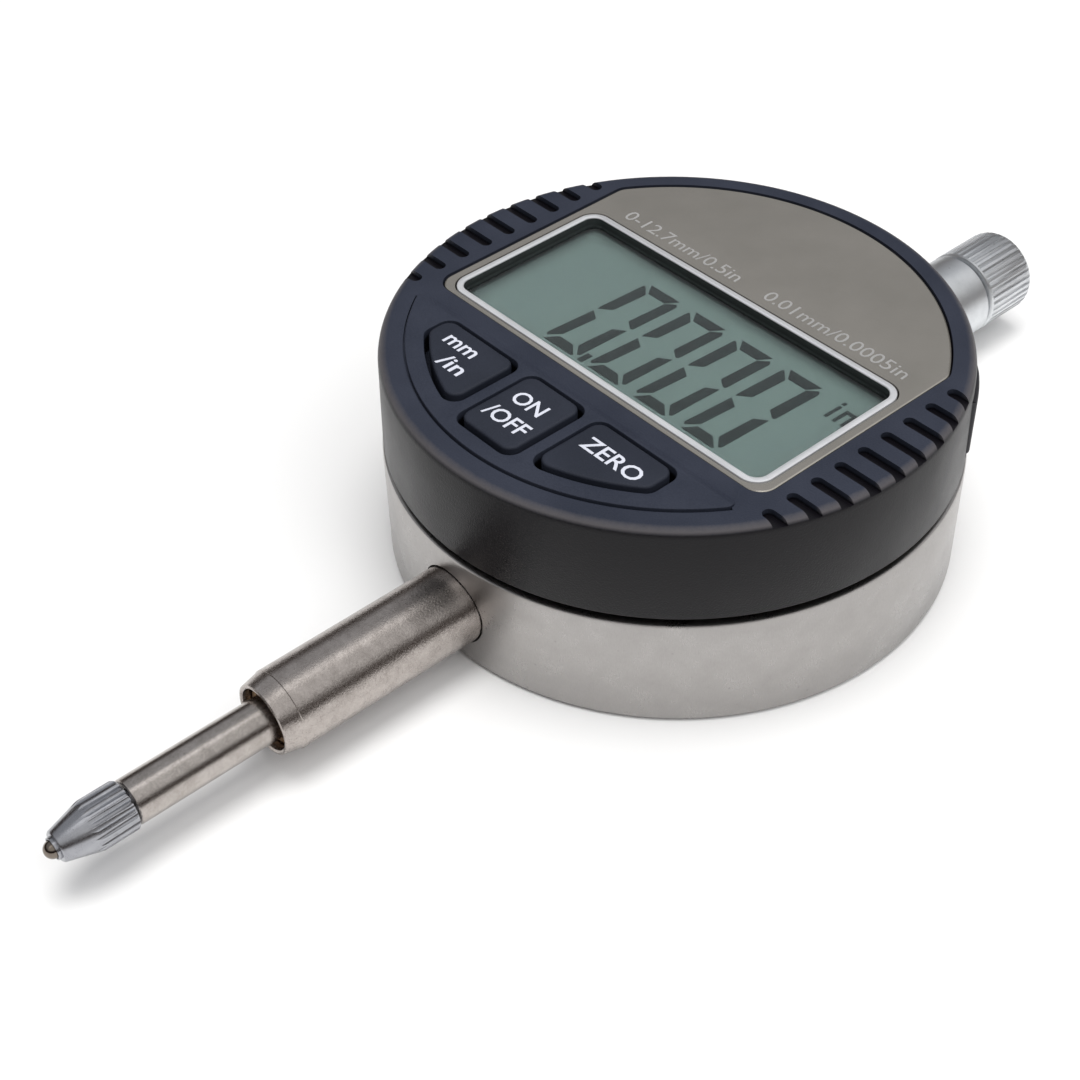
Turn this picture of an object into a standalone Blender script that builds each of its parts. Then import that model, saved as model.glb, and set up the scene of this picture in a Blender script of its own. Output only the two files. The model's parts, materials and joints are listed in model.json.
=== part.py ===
"""Digital dial indicator: a round case with a stem and a sprung spindle, under a display head that turns.

+Z is the way the display faces and +Y is 12 o'clock, so the stem and spindle point along -Y.
The origin is the centre of the back face, on the axis that the display head turns about.
"""

import math

import bmesh
import bpy
from mathutils import Matrix

# Driving dimensions, in metres.
GAP = 0.0003  # clearance between pieces that touch

CASE_RADIUS = 0.0287
CASE_INNER_RADIUS = 0.0269
CASE_TOP = 0.0122  # height of the steel case above the back face
WEB_BOTTOM = 0.0110  # underside of the case's front web
WEB_HOLE_RADIUS = 0.0134
COVER_THICKNESS = 0.0014
COVER_SCREW_CIRCLE = 0.0240

AXIS_HEIGHT = 0.0060  # stem and spindle axis above the back face
STEM_RADIUS = 0.0040  # the standard 8 mm stem
STEM_END = -0.0504
STEM_TAPER = -0.0485  # where the stem's lead-in starts
STEM_SEAT = 0.0042  # hole in the case for the stem
BUSH_RADIUS = 0.0029
BUSH_BORE = 0.0024
NECK_RADIUS = 0.0046
NECK_END = 0.0447
CAP_RADIUS = 0.00465
CAP_END = 0.0524
SPINDLE_RADIUS = 0.0022
SPINDLE_FRONT = -0.0643
SPINDLE_REAR = 0.0360
TIP_RADIUS = 0.00245
TIP_BACK = -0.0645  # back face of the contact point
TIP_FRONT = -0.0714
BALL_RADIUS = 0.00085
BALL_CENTRE = -0.07165

HEAD_BOTTOM = 0.01296  # a dark groove is left above the case
HEAD_RADIUS = 0.0286
HEAD_INNER_RADIUS = 0.0264
FACE = 0.0232  # height of the display face
FACE_EDGE_RADIUS = 0.0278
CEILING = 0.0212  # underside of the housing's face
LEDGE = 0.0220  # step that the display plate rests on
BASE_TOP = 0.0140
HUB_RADIUS = 0.0130
HUB_BORE = 0.0110
HUB_BOTTOM = 0.0098

PLATE_ARC_RADIUS = 0.0259  # the display plate's round top
PLATE_HALF_WIDTH = 0.02205
PLATE_LOW = -0.0113
WINDOW = (-0.0203, 0.0203, -0.0100, 0.0082)  # visible display: x from, x to, y from, y to
FRAME_WIDTH = 0.0007
LCD_TOP = 0.0213

BOARD_BOTTOM = 0.0172
BOARD_TOP = 0.0180
BOARD_RADIUS = 0.0250

KEY_TOP = 0.02375
KEY_GAP = 0.0005
KEY_HIGH_EDGE = -0.01425  # the wells' common straight edge
KEY_ARC_RADIUS = 0.0239  # the outer keys' round edge
MIDDLE_KEY_LOW = -0.0241
PAD_HEIGHT = 0.02345
PAD_ARC_RADIUS = 0.0257

NOTCH_PITCH = 0.00303
NOTCH_WIDTH = 0.0011
NOTCH_SHIFT = -0.0002
NOTCH_START = 0.0236
NOTCH_FLOOR = 0.0225
NOTCHES_EACH_SIDE = 9

BATTERY_RADIUS = 0.0058
BATTERY_HEIGHT = 0.0054
BATTERY_DISTANCE = 0.0194  # from the turning axis
BATTERY_BOTTOM = 0.0149
DRAWER_ANGLE = math.radians(50)

BLACK_PLASTIC = ((0.040, 0.046, 0.060), 0.55, 0.0)
SATIN_STEEL = ((0.45, 0.43, 0.42), 0.32, 1.0)
POLISHED_STEEL = ((0.50, 0.49, 0.48), 0.18, 1.0)
BRONZE = ((0.45, 0.30, 0.16), 0.35, 1.0)
MIRROR_PLATE = ((0.24, 0.22, 0.20), 0.30, 0.6)
BRIGHT_FRAME = ((0.60, 0.61, 0.63), 0.25, 0.8)
BOARD_GREEN = ((0.02, 0.16, 0.07), 0.45, 0.0)
LCD_GREY = ((0.18, 0.24, 0.22), 0.30, 0.0)
CLEAR = ((0.90, 0.90, 0.90), 0.05, 0.0)
RUBBER = ((0.25, 0.25, 0.27), 0.80, 0.0)
CHIP_BLACK = ((0.02, 0.02, 0.02), 0.60, 0.0)
COPPER = ((0.70, 0.38, 0.15), 0.40, 0.6)

part_collection = bpy.data.collections.new("dial_indicator")
cutter_collection = bpy.data.collections.new("cutters")


def clear_scene():
    for obj in list(bpy.data.objects):
        bpy.data.objects.remove(obj)
    bpy.context.scene.collection.children.link(part_collection)
    bpy.context.scene.collection.children.link(cutter_collection)


def empty_at(name, location, rotation=(0, 0, 0)):
    empty = bpy.data.objects.new(name, None)
    empty.location = location
    empty.rotation_euler = rotation
    part_collection.objects.link(empty)
    return empty


def add_object(name, mesh, parent, finish):
    """A sub-part when it has a finish, and a hidden cutter when it has none."""
    obj = bpy.data.objects.new(name, mesh)
    obj.parent = parent
    if finish is None:
        obj.hide_render = True
        obj.display_type = "WIRE"
        cutter_collection.objects.link(obj)
        return obj
    part_collection.objects.link(obj)
    colour, roughness, metallic = finish
    material = bpy.data.materials.new(name + "_material")
    material.use_nodes = True
    shader = material.node_tree.nodes["Principled BSDF"]
    shader.inputs["Base Color"].default_value = (*colour, 1)
    shader.inputs["Roughness"].default_value = roughness
    shader.inputs["Metallic"].default_value = metallic
    mesh.materials.append(material)
    return obj


def turned(name, profile, parent=None, finish=None, steps=32, ring=False):
    """Turns (radius, height) points about local Z, running down the outer side. A ring closes on itself."""
    mesh = bpy.data.meshes.new(name)
    edges = [(i, i + 1) for i in range(len(profile) - 1)]
    if ring:
        edges.append((len(profile) - 1, 0))
    mesh.from_pydata([(radius, 0, height) for radius, height in profile], edges, [])
    obj = add_object(name, mesh, parent, finish)
    screw = obj.modifiers.new("turn", "SCREW")
    screw.steps = steps
    screw.render_steps = steps
    screw.use_merge_vertices = True
    screw.merge_threshold = 0.00001
    return obj


def tube_profile(inner, outer, low, high):
    return [(inner, high), (outer, high), (outer, low), (inner, low)]


def rod_profile(radius, low, high):
    return [(0, high), (radius, high), (radius, low), (0, low)]


def box(name, low, high, parent=None, finish=None):
    shape = bmesh.new()
    bmesh.ops.create_cube(shape, size=1)
    size = [b - a for a, b in zip(low, high)]
    middle = [(a + b) / 2 for a, b in zip(low, high)]
    bmesh.ops.scale(shape, vec=size, verts=shape.verts)
    bmesh.ops.translate(shape, vec=middle, verts=shape.verts)
    mesh = bpy.data.meshes.new(name)
    shape.to_mesh(mesh)
    shape.free()
    return add_object(name, mesh, parent, finish)


def cylinders(name, places, radius, low, high, parent=None, finish=None, steps=12, top_radius=None):
    """Upright cylinders or cones of one size, as one mesh."""
    shape = bmesh.new()
    for x, y in places:
        bmesh.ops.create_cone(
            shape,
            cap_ends=True,
            segments=steps,
            radius1=radius,
            radius2=radius if top_radius is None else top_radius,
            depth=high - low,
            matrix=Matrix.Translation((x, y, (low + high) / 2)),
        )
    mesh = bpy.data.meshes.new(name)
    shape.to_mesh(mesh)
    shape.free()
    return add_object(name, mesh, parent, finish)


def plate(name, outlines, low, high, parent=None, finish=None):
    """A flat plate from closed outlines. An outline inside another is a hole."""
    curve = bpy.data.curves.new(name, "CURVE")
    curve.dimensions = "2D"
    curve.fill_mode = "BOTH"
    curve.extrude = (high - low) / 2
    for outline in outlines:
        spline = curve.splines.new("POLY")
        spline.points.add(len(outline) - 1)
        for point, (x, y) in zip(spline.points, outline):
            point.co = (x, y, 0, 1)
        spline.use_cyclic_u = True
    guide = bpy.data.objects.new(name + "_curve", curve)
    cutter_collection.objects.link(guide)
    bpy.context.view_layer.update()
    graph = bpy.context.evaluated_depsgraph_get()
    mesh = bpy.data.meshes.new_from_object(guide.evaluated_get(graph))
    bpy.data.objects.remove(guide)
    shape = bmesh.new()
    shape.from_mesh(mesh)
    bmesh.ops.remove_doubles(shape, verts=shape.verts, dist=0.000001)
    bmesh.ops.translate(shape, vec=(0, 0, (low + high) / 2), verts=shape.verts)
    bmesh.ops.recalc_face_normals(shape, faces=shape.faces)
    shape.to_mesh(mesh)
    shape.free()
    mesh.name = name
    return add_object(name, mesh, parent, finish)


def combine(obj, other, operation):
    boolean = obj.modifiers.new(operation.lower(), "BOOLEAN")
    boolean.operation = operation
    boolean.object = other


def cut(obj, *cutters):
    for cutter in cutters:
        combine(obj, cutter, "DIFFERENCE")


def join(obj, *others):
    for other in others:
        combine(obj, other, "UNION")


def arc(radius, start, end, steps, centre=(0, 0)):
    """Points from one angle to another, in degrees."""
    angles = [math.radians(start + (end - start) * i / steps) for i in range(steps + 1)]
    return [(centre[0] + radius * math.cos(a), centre[1] + radius * math.sin(a)) for a in angles]


def rounded(points, radius, steps=3):
    """The outline with an arc at each real corner, and the gentle bends of an arc left as they are."""
    result = []
    for i, corner in enumerate(points):
        before = points[i - 1]
        after = points[(i + 1) % len(points)]
        into = math.atan2(corner[1] - before[1], corner[0] - before[0])
        out = math.atan2(after[1] - corner[1], after[0] - corner[0])
        bend = (out - into + math.pi) % (2 * math.pi) - math.pi
        if abs(bend) < math.radians(25):
            result.append(corner)
            continue
        back = radius * math.tan(abs(bend) / 2)
        start = (corner[0] - back * math.cos(into), corner[1] - back * math.sin(into))
        side = math.copysign(math.pi / 2, bend)
        centre = (start[0] + radius * math.cos(into + side), start[1] + radius * math.sin(into + side))
        first = math.degrees(into - side)
        result += arc(radius, first, first + math.degrees(bend), steps, centre)
    return result


def rectangle(x_low, x_high, y_low, y_high, corner=0.0):
    points = [(x_low, y_low), (x_high, y_low), (x_high, y_high), (x_low, y_high)]
    return rounded(points, corner) if corner else points


def window_outline(margin, corner):
    x_low, x_high, y_low, y_high = WINDOW
    return rectangle(x_low - margin, x_high + margin, y_low - margin, y_high + margin, corner)


def plate_outline(margin):
    """The display plate: straight sides and lower edge under an arc about the turning axis."""
    radius = PLATE_ARC_RADIUS + margin
    half = PLATE_HALF_WIDTH + margin
    low = PLATE_LOW - margin
    start = math.degrees(math.acos(half / radius))
    points = [(-half, low), (half, low)] + arc(radius, start, 180 - start, 16)
    return rounded(points, 0.0018 + margin)


def key_outline(x_low, x_high, margin, corner):
    """A key between two x values, straight above and round below, or straight below for the middle key."""
    high = KEY_HIGH_EDGE - margin
    left = x_low + margin
    right = x_high - margin
    if x_low < 0 < x_high:
        return rectangle(left, right, MIDDLE_KEY_LOW + margin, high, corner)
    radius = KEY_ARC_RADIUS - margin
    start = -math.degrees(math.acos(left / radius))
    end = -math.degrees(math.acos(right / radius))
    return rounded([(left, high)] + arc(radius, start, end, 4) + [(right, high)], corner)


KEY_SPANS = {
    "unit_key": (-0.0162, -0.0055),
    "power_key": (-0.0043, 0.0037),
    "zero_key": (0.0049, 0.0156),
}
SWITCH_PLACES = {
    "unit_key": (-0.0104, -0.0178),
    "power_key": (0.0, -0.0192),
    "zero_key": (0.0104, -0.0178),
}


def around(radius, degrees):
    return [(radius * math.cos(math.radians(a)), radius * math.sin(math.radians(a))) for a in degrees]


COVER_SCREWS = around(COVER_SCREW_CIRCLE, (55, 125, 235, 305))
SENSOR_SCREWS = [(0.0138, -0.0125), (0.0138, 0.0125)]
RAIL_SCREWS = [(-0.0170, -0.0072), (-0.0170, 0.0142)]
HEAD_SCREWS = around(0.0232, (-38, 218, 105))
BOARD_SCREWS = [(-0.0229, 0.0), (0.0229, 0.0)]
SPRING_POST = (-0.0085, -0.0195)
SPRING_EAR = (-0.0085, -0.0080)


def screws(names, places, finish, head_radius, head_low, head_high, tip, parent, countersunk):
    """One screw for each place. The head faces down, and the shank goes up to the tip."""
    shank = head_radius * 0.36
    for name, (x, y) in zip(names, places):
        neck = shank if countersunk else head_radius
        profile = [
            (0, tip),
            (shank, tip),
            (shank, head_high),
            (neck, head_high),
            (head_radius, head_low),
            (0, head_low),
        ]
        if countersunk:
            profile.remove((neck, head_high))
        screw = turned(name, profile, parent, finish, steps=12)
        screw.location = (x, y, 0)
        slot_depth = 0.4 * (head_high - head_low)
        slot = box(
            name + "_slot",
            (-head_radius, -0.0002, head_low - GAP),
            (head_radius, 0.0002, head_low + slot_depth),
            screw,
        )
        cut(screw, slot)


def make_case():
    """A steel cup, open at the back, with bosses for the stem, the neck and the cover screws."""
    profile = [
        (WEB_HOLE_RADIUS, CASE_TOP),
        (CASE_RADIUS - 0.0003, CASE_TOP),
        (CASE_RADIUS, CASE_TOP - 0.0003),
        (CASE_RADIUS, 0.0005),
        (CASE_RADIUS - 0.0005, 0),
        (CASE_INNER_RADIUS, 0),
        (CASE_INNER_RADIUS, WEB_BOTTOM),
        (WEB_HOLE_RADIUS, WEB_BOTTOM),
    ]
    case = turned("steel_case", profile, None, SATIN_STEEL, steps=64, ring=True)
    inside = COVER_THICKNESS + GAP
    overlap = 0.0005  # how far a boss runs into the web
    bosses = (
        box("stem_boss", (-0.0062, -0.0273, inside), (0.0062, -0.0222, WEB_BOTTOM + overlap)),
        box("neck_boss", (-0.0065, 0.0222, inside), (0.0065, 0.0273, WEB_BOTTOM + overlap)),
        cylinders("cover_posts", COVER_SCREWS, 0.0022, inside, WEB_BOTTOM + overlap),
        cylinders("sensor_posts", SENSOR_SCREWS, 0.0014, 0.0094, WEB_BOTTOM + overlap),
    )
    join(case, *bosses)
    stem_line = empty_at("stem_line", (0, 0, AXIS_HEIGHT), (-math.pi / 2, 0, 0))
    cut(
        case,
        turned("stem_hole", rod_profile(STEM_SEAT, -0.0300, -0.0200), stem_line, steps=36),
        turned("neck_hole", rod_profile(NECK_RADIUS + 0.0002, 0.0200, 0.0300), stem_line, steps=36),
        cylinders("cover_pilots", COVER_SCREWS, 0.0008, 0.0010, 0.0070, steps=12),
        cylinders("sensor_pilots", SENSOR_SCREWS, 0.0007, 0.0090, 0.0108, steps=12),
    )
    return stem_line


def make_back_cover():
    disc = rod_profile(CASE_INNER_RADIUS - GAP, 0, COVER_THICKNESS)
    cover = turned("back_cover", disc, None, SATIN_STEEL, steps=64)
    cut(
        cover,
        cylinders("cover_holes", COVER_SCREWS, 0.0011, -0.0005, 0.0020, steps=16),
        cylinders("cover_sinks", COVER_SCREWS, 0.0025, -0.0002, 0.0012, steps=16, top_radius=0.0010),
    )
    names = [f"cover_screw_{i + 1}" for i in range(4)]
    screws(names, COVER_SCREWS, POLISHED_STEEL, 0.0018, 0.0001, 0.0012, 0.0060, None, True)


def make_stem(stem_line):
    """Stem and rear neck, turned, each with a bronze bush for the spindle."""
    stem = [
        (0.0027, -0.0220),
        (STEM_RADIUS, -0.0220),
        (STEM_RADIUS, STEM_TAPER),
        (0.00365, STEM_END),
        (0.0033, STEM_END),
        (0.0031, STEM_END + 0.0004),
        (0.0031, -0.0430),
        (0.0027, -0.0430),
    ]
    turned("stem", stem, stem_line, SATIN_STEEL, ring=True)
    front_bush = tube_profile(BUSH_BORE, BUSH_RADIUS, -0.0494, -0.0433)
    turned("stem_bush", front_bush, stem_line, BRONZE, ring=True)
    neck = [
        (0.0038, NECK_END),
        (NECK_RADIUS - 0.0002, NECK_END),
        (NECK_RADIUS, NECK_END - 0.0002),
        (NECK_RADIUS, 0.0220),
        (0.0031, 0.0220),
        (0.0031, 0.0290),
        (0.0027, 0.0290),
        (0.0027, 0.0385),
        (0.0038, 0.0385),
    ]
    turned("rear_neck", neck, stem_line, SATIN_STEEL, ring=True)
    back_bush = tube_profile(BUSH_BORE, BUSH_RADIUS, 0.0223, 0.0287)
    turned("rear_bush", back_bush, stem_line, BRONZE, ring=True)


def make_dust_cap(stem_line):
    """A knurled cap, screwed into the neck, with a blind bore for the spindle's rear end."""
    cap_front = NECK_END + GAP
    spigot_end = 0.0390
    profile = [
        (0, CAP_END),
        (CAP_RADIUS - 0.0016, CAP_END),
        (CAP_RADIUS - 0.0006, CAP_END - 0.0004),
        (CAP_RADIUS, CAP_END - 0.0014),
        (CAP_RADIUS, cap_front + 0.0002),
        (CAP_RADIUS - 0.0002, cap_front),
        (0.0035, cap_front),
        (0.0035, spigot_end),
        (0.0026, spigot_end),
        (0.0026, 0.0503),
        (0, 0.0503),
    ]
    cap = turned("dust_cap", profile, stem_line, POLISHED_STEEL)
    flutes = 18
    places = around(CAP_RADIUS + 0.00008, [360 / flutes * i for i in range(flutes)])
    flute_start = cap_front + 0.0003
    cut(cap, cylinders("cap_flutes", places, 0.0002, flute_start, CAP_END + 0.001, stem_line, steps=6))


def make_spindle(spindle_line):
    bore = 0.0015
    profile = [
        (0, SPINDLE_REAR),
        (SPINDLE_RADIUS - 0.0003, SPINDLE_REAR),
        (SPINDLE_RADIUS, SPINDLE_REAR - 0.0003),
        (SPINDLE_RADIUS, SPINDLE_FRONT),
        (bore, SPINDLE_FRONT),
        (bore, -0.0585),
        (0, -0.0585),
    ]
    turned("spindle", profile, spindle_line, POLISHED_STEEL, steps=32)


def make_contact_point(spindle_line):
    """A fluted nut that runs into a cone, with a threaded stud behind and a ball in front."""
    socket = BALL_RADIUS + 0.0001
    lip = TIP_FRONT - 0.0003
    stud = 0.0012
    profile = [
        (0, -0.0592),
        (stud, -0.0592),
        (stud, TIP_BACK),
        (TIP_RADIUS - 0.0002, TIP_BACK),
        (TIP_RADIUS, TIP_BACK - 0.0002),
        (TIP_RADIUS, -0.06805),
        (0.00145, TIP_FRONT),
        (0.00108, TIP_FRONT),
        (0.00108, lip),
        (socket, lip),
        (socket, BALL_CENTRE + BALL_RADIUS + 0.0002),
        (0, BALL_CENTRE + BALL_RADIUS + 0.0002),
    ]
    tip = turned("contact_point", profile, spindle_line, POLISHED_STEEL, steps=36)
    flutes = 12
    places = around(TIP_RADIUS + 0.0001, [360 / flutes * i for i in range(flutes)])
    cut(tip, cylinders("tip_flutes", places, 0.0003, -0.0700, TIP_BACK + 0.001, spindle_line, steps=6))
    shape = bmesh.new()
    bmesh.ops.create_uvsphere(shape, u_segments=16, v_segments=10, radius=BALL_RADIUS)
    bmesh.ops.translate(shape, vec=(0, 0, BALL_CENTRE), verts=shape.verts)
    mesh = bpy.data.meshes.new("contact_ball")
    shape.to_mesh(mesh)
    shape.free()
    add_object("contact_ball", mesh, spindle_line, POLISHED_STEEL)


def make_carriage(spindle_line):
    """The block clamped on the spindle, with the scale strip, the spring arm and the guide pin."""
    carriage_frame = empty_at("carriage_frame", (0, 0, 0))
    low = 0.0027
    back = -0.0090
    block = box("carriage", (-0.0046, back, low), (0.0042, 0.0050, 0.0090), carriage_frame, SATIN_STEEL)
    join(
        block,
        box("strip_arm", (0.0040, back, 0.0046), (0.0110, 0.0070, 0.0064), carriage_frame),
        box("spring_arm", (-0.0100, back, 0.0055), (-0.0044, -0.0070, 0.0070), carriage_frame),
        cylinders("spring_peg", [SPRING_EAR], 0.0006, 0.0040, 0.0060, carriage_frame),
    )
    clamp_places = [(-0.0035, -0.0065), (-0.0035, 0.0025)]
    pin_y = -0.0020
    pin_hole = cylinders("pin_hole", [(0, 0)], 0.0010, 0.0030, 0.0060, carriage_frame)
    pin_hole.rotation_euler = (0, -math.pi / 2, 0)
    pin_hole.location = (0, pin_y, AXIS_HEIGHT)
    cut(
        block,
        turned("carriage_bore", rod_profile(SPINDLE_RADIUS + 0.0002, -0.0100, 0.0100), spindle_line, steps=32),
        cylinders("clamp_holes", clamp_places, 0.0007, low - 0.001, 0.0070, carriage_frame, steps=12),
        cylinders("clamp_sinks", clamp_places, 0.0011, low - 0.001, low + 0.0009, carriage_frame, steps=16),
        pin_hole,
    )
    names = ["clamp_screw_1", "clamp_screw_2"]
    screws(names, clamp_places, POLISHED_STEEL, 0.0009, low, low + 0.0006, 0.0065, carriage_frame, False)
    box("scale_strip", (0.0046, back, 0.0067), (0.0106, 0.0070, 0.0075), carriage_frame, BOARD_GREEN)
    pin = cylinders("guide_pin", [(0, 0)], 0.0007, 0.0033, 0.0176, carriage_frame, POLISHED_STEEL)
    pin.rotation_euler = (0, -math.pi / 2, 0)
    pin.location = (0, pin_y, AXIS_HEIGHT)


def make_sensor_board():
    board = box("sensor_board", (0.0046, -0.0155, 0.0083), (0.0156, 0.0155, 0.0091), None, BOARD_GREEN)
    cut(board, cylinders("sensor_holes", SENSOR_SCREWS, 0.0008, 0.0080, 0.0095, steps=12))
    names = ["sensor_screw_1", "sensor_screw_2"]
    screws(names, SENSOR_SCREWS, POLISHED_STEEL, 0.0012, 0.0074, 0.0080, 0.0105, None, False)


def make_guide_rail():
    """A slotted rail that keeps the guide pin, and so the spindle, from turning."""
    low = (-0.0188, -0.0090, 0.0040)
    high = (-0.0152, 0.0160, WEB_BOTTOM - GAP)
    rail = box("guide_rail", low, high, None, SATIN_STEEL)
    slot = box("rail_slot", (-0.0180, -0.0032, 0.0050), (-0.0140, 0.0122, 0.0070))
    relief = box("rail_relief", (-0.0200, -0.0035, 0.0080), (-0.0140, 0.0110, 0.0120))
    cut(rail, slot, relief, cylinders("rail_holes", RAIL_SCREWS, 0.0008, 0.0030, 0.0120, steps=12))
    names = ["rail_screw_1", "rail_screw_2"]
    screws(names, RAIL_SCREWS, POLISHED_STEEL, 0.0012, 0.0030, 0.0037, 0.0104, None, False)


def make_spring():
    """A pull spring from the case's post to the carriage, which keeps the spindle out."""
    cylinders("spring_post", [SPRING_POST], 0.0008, 0.0045, WEB_BOTTOM - GAP, None, POLISHED_STEEL)
    x = SPRING_POST[0]
    height = 0.0049  # under the carriage's spring arm
    wire = 0.00018
    loop = 0.0014
    coil_radius = 0.0014
    coil_start = SPRING_POST[1] + loop + 0.0008
    coil_end = SPRING_EAR[1] - loop - 0.0008
    turns = 6
    per_turn = 8
    points = [(x + a, SPRING_POST[1] + b, height) for a, b in arc(loop, -60, 90, 8)]
    for i in range(turns * per_turn + 1):
        angle = 2 * math.pi * i / per_turn
        along = coil_start + (coil_end - coil_start) * i / (turns * per_turn)
        points.append((x + coil_radius * math.sin(angle), along, height + coil_radius * math.cos(angle)))
    points += [(x + a, SPRING_EAR[1] + b, height) for a, b in arc(loop, -90, 60, 8)]
    curve = bpy.data.curves.new("return_spring", "CURVE")
    curve.dimensions = "3D"
    curve.bevel_depth = wire
    curve.bevel_resolution = 0
    curve.use_fill_caps = True
    spline = curve.splines.new("POLY")
    spline.points.add(len(points) - 1)
    for point, place in zip(spline.points, points):
        point.co = (*place, 1)
    add_object("return_spring", curve, None, POLISHED_STEEL)


def make_ribbon():
    """A flat cable wound inside the hub, from the sensor board to the display's board."""
    points = arc(0.0088, 20, 320, 30)
    low = 0.0094
    high = BOARD_BOTTOM - GAP
    shape = bmesh.new()
    lower = [shape.verts.new((x, y, low)) for x, y in points]
    edges = [shape.edges.new(pair) for pair in zip(lower, lower[1:])]
    made = bmesh.ops.extrude_edge_only(shape, edges=edges)["geom"]
    upper = [item for item in made if isinstance(item, bmesh.types.BMVert)]
    bmesh.ops.translate(shape, vec=(0, 0, high - low), verts=upper)
    mesh = bpy.data.meshes.new("ribbon_cable")
    shape.to_mesh(mesh)
    shape.free()
    ribbon = add_object("ribbon_cable", mesh, None, COPPER)
    wall = ribbon.modifiers.new("thickness", "SOLIDIFY")
    wall.thickness = 0.0002


def notch_outlines():
    """Grip notches on both sides, each with a round inner end, that run out over the rim."""
    half = NOTCH_WIDTH / 2
    end = HEAD_RADIUS + 0.0010
    outlines = []
    for i in range(NOTCHES_EACH_SIDE):
        y = (i - (NOTCHES_EACH_SIDE - 1) / 2) * NOTCH_PITCH + NOTCH_SHIFT
        outline = arc(half, 90, 270, 6, (NOTCH_START + half, y)) + [(end, y - half), (end, y + half)]
        outlines += [outline, [(-px, py) for px, py in outline]]
    return outlines


def make_front_housing(head, drawer):
    profile = [
        (0, FACE),
        (FACE_EDGE_RADIUS, FACE),
        (0.02820, FACE - 0.0003),
        (0.02840, FACE - 0.0009),
        (HEAD_RADIUS, HEAD_BOTTOM),
        (HEAD_INNER_RADIUS, HEAD_BOTTOM),
        (HEAD_INNER_RADIUS, CEILING),
        (0, CEILING),
    ]
    housing = turned("front_housing", profile, head, BLACK_PLASTIC, steps=80)
    end = math.degrees(math.asin(-0.0132 / PAD_ARC_RADIUS))
    pad = rounded(arc(PAD_ARC_RADIUS, -180 - end, end, 12), 0.00075)
    screw_posts = cylinders("head_posts", HEAD_SCREWS, 0.0014, BASE_TOP + GAP, CEILING + 0.0004, head)
    board_posts = cylinders("board_posts", BOARD_SCREWS, 0.0012, BOARD_TOP + GAP, CEILING + 0.0004, head)
    join(housing, plate("key_pad", [pad], 0.0229, PAD_HEIGHT, head), screw_posts, board_posts)
    wells = [key_outline(*span, 0, 0.0014) for span in KEY_SPANS.values()]
    window = window_outline(FRAME_WIDTH + GAP, 0.0006)
    below = CEILING - 0.001
    above = FACE + 0.0010
    cut(
        housing,
        plate("plate_recess", [plate_outline(0.00015)], LEDGE, above, head),
        plate("window_opening", [window], below, LEDGE + 0.0005, head),
        plate("key_wells", wells, below, above, head),
        plate("grip_notches", notch_outlines(), NOTCH_FLOOR, above, head),
        box("drawer_opening", (0.0240, -0.0094, 0.0142), (0.0300, 0.0094, 0.0209), drawer),
        cylinders("head_pilots", HEAD_SCREWS, 0.0009, BASE_TOP, 0.0195, head, steps=12),
        cylinders("board_pilots", BOARD_SCREWS, 0.0006, BOARD_TOP, 0.0207, head, steps=12),
    )


def make_head_base(head):
    """The floor of the head, with a hub that turns in the case's web and is kept there by a snap ring."""
    profile = [
        (HUB_BORE, BASE_TOP),
        (HEAD_INNER_RADIUS - 0.0004, BASE_TOP),
        (HEAD_INNER_RADIUS - 0.0004, CASE_TOP + 0.0002),
        (HEAD_INNER_RADIUS - 0.0013, CASE_TOP + 0.0002),
        (HEAD_INNER_RADIUS - 0.0013, BASE_TOP - 0.0010),
        (HUB_RADIUS, BASE_TOP - 0.0010),
        (HUB_RADIUS, 0.0109),
        (0.0122, 0.0109),
        (0.0122, 0.0100),
        (HUB_RADIUS, 0.0100),
        (HUB_RADIUS, HUB_BOTTOM),
        (HUB_BORE, HUB_BOTTOM),
    ]
    base = turned("head_base", profile, head, BLACK_PLASTIC, steps=40, ring=True)
    cut(
        base,
        cylinders("base_holes", HEAD_SCREWS, 0.0010, 0.0120, 0.0150, head, steps=16),
        cylinders("base_sinks", HEAD_SCREWS, 0.0021, 0.0129, 0.0139, head, steps=20, top_radius=0.0009),
    )
    snap_profile = tube_profile(0.0125, 0.0152, 0.01015, 0.0107)
    snap = turned("snap_ring", snap_profile, head, POLISHED_STEEL, ring=True)
    cut(snap, box("snap_gap", (0.0100, -0.0020, 0.0095), (0.0170, 0.0020, 0.0112), head))
    turned("friction_ring", tube_profile(0.0180, 0.0215, 0.0125, 0.0127), head, RUBBER, ring=True)
    names = [f"head_screw_{i + 1}" for i in range(len(HEAD_SCREWS))]
    screws(names, HEAD_SCREWS, POLISHED_STEEL, 0.0017, 0.0131, 0.0139, 0.0190, head, True)


def make_display(head):
    opening = window_outline(FRAME_WIDTH + 0.00015, 0.0021)
    outlines = [plate_outline(0), opening]
    plate("display_plate", outlines, LEDGE + 0.0002, FACE - 0.0001, head, MIRROR_PLATE)
    frame = [window_outline(FRAME_WIDTH, 0.0020), window_outline(0, 0.0013)]
    plate("display_frame", frame, LCD_TOP + GAP, FACE - 0.00005, head, BRIGHT_FRAME)
    plate("display_window", [window_outline(-0.00015, 0.0012)], 0.0219, 0.0224, head, CLEAR)
    box("lcd_panel", (-0.0210, -0.0107, 0.0200), (0.0210, 0.0088, LCD_TOP), head, LCD_GREY)
    strips = {"zebra_strip_1": -0.0098, "zebra_strip_2": 0.0066}
    for name, y in strips.items():
        box(name, (-0.0195, y, BOARD_TOP + GAP), (0.0195, y + 0.0016, 0.0197), head, RUBBER)


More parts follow.
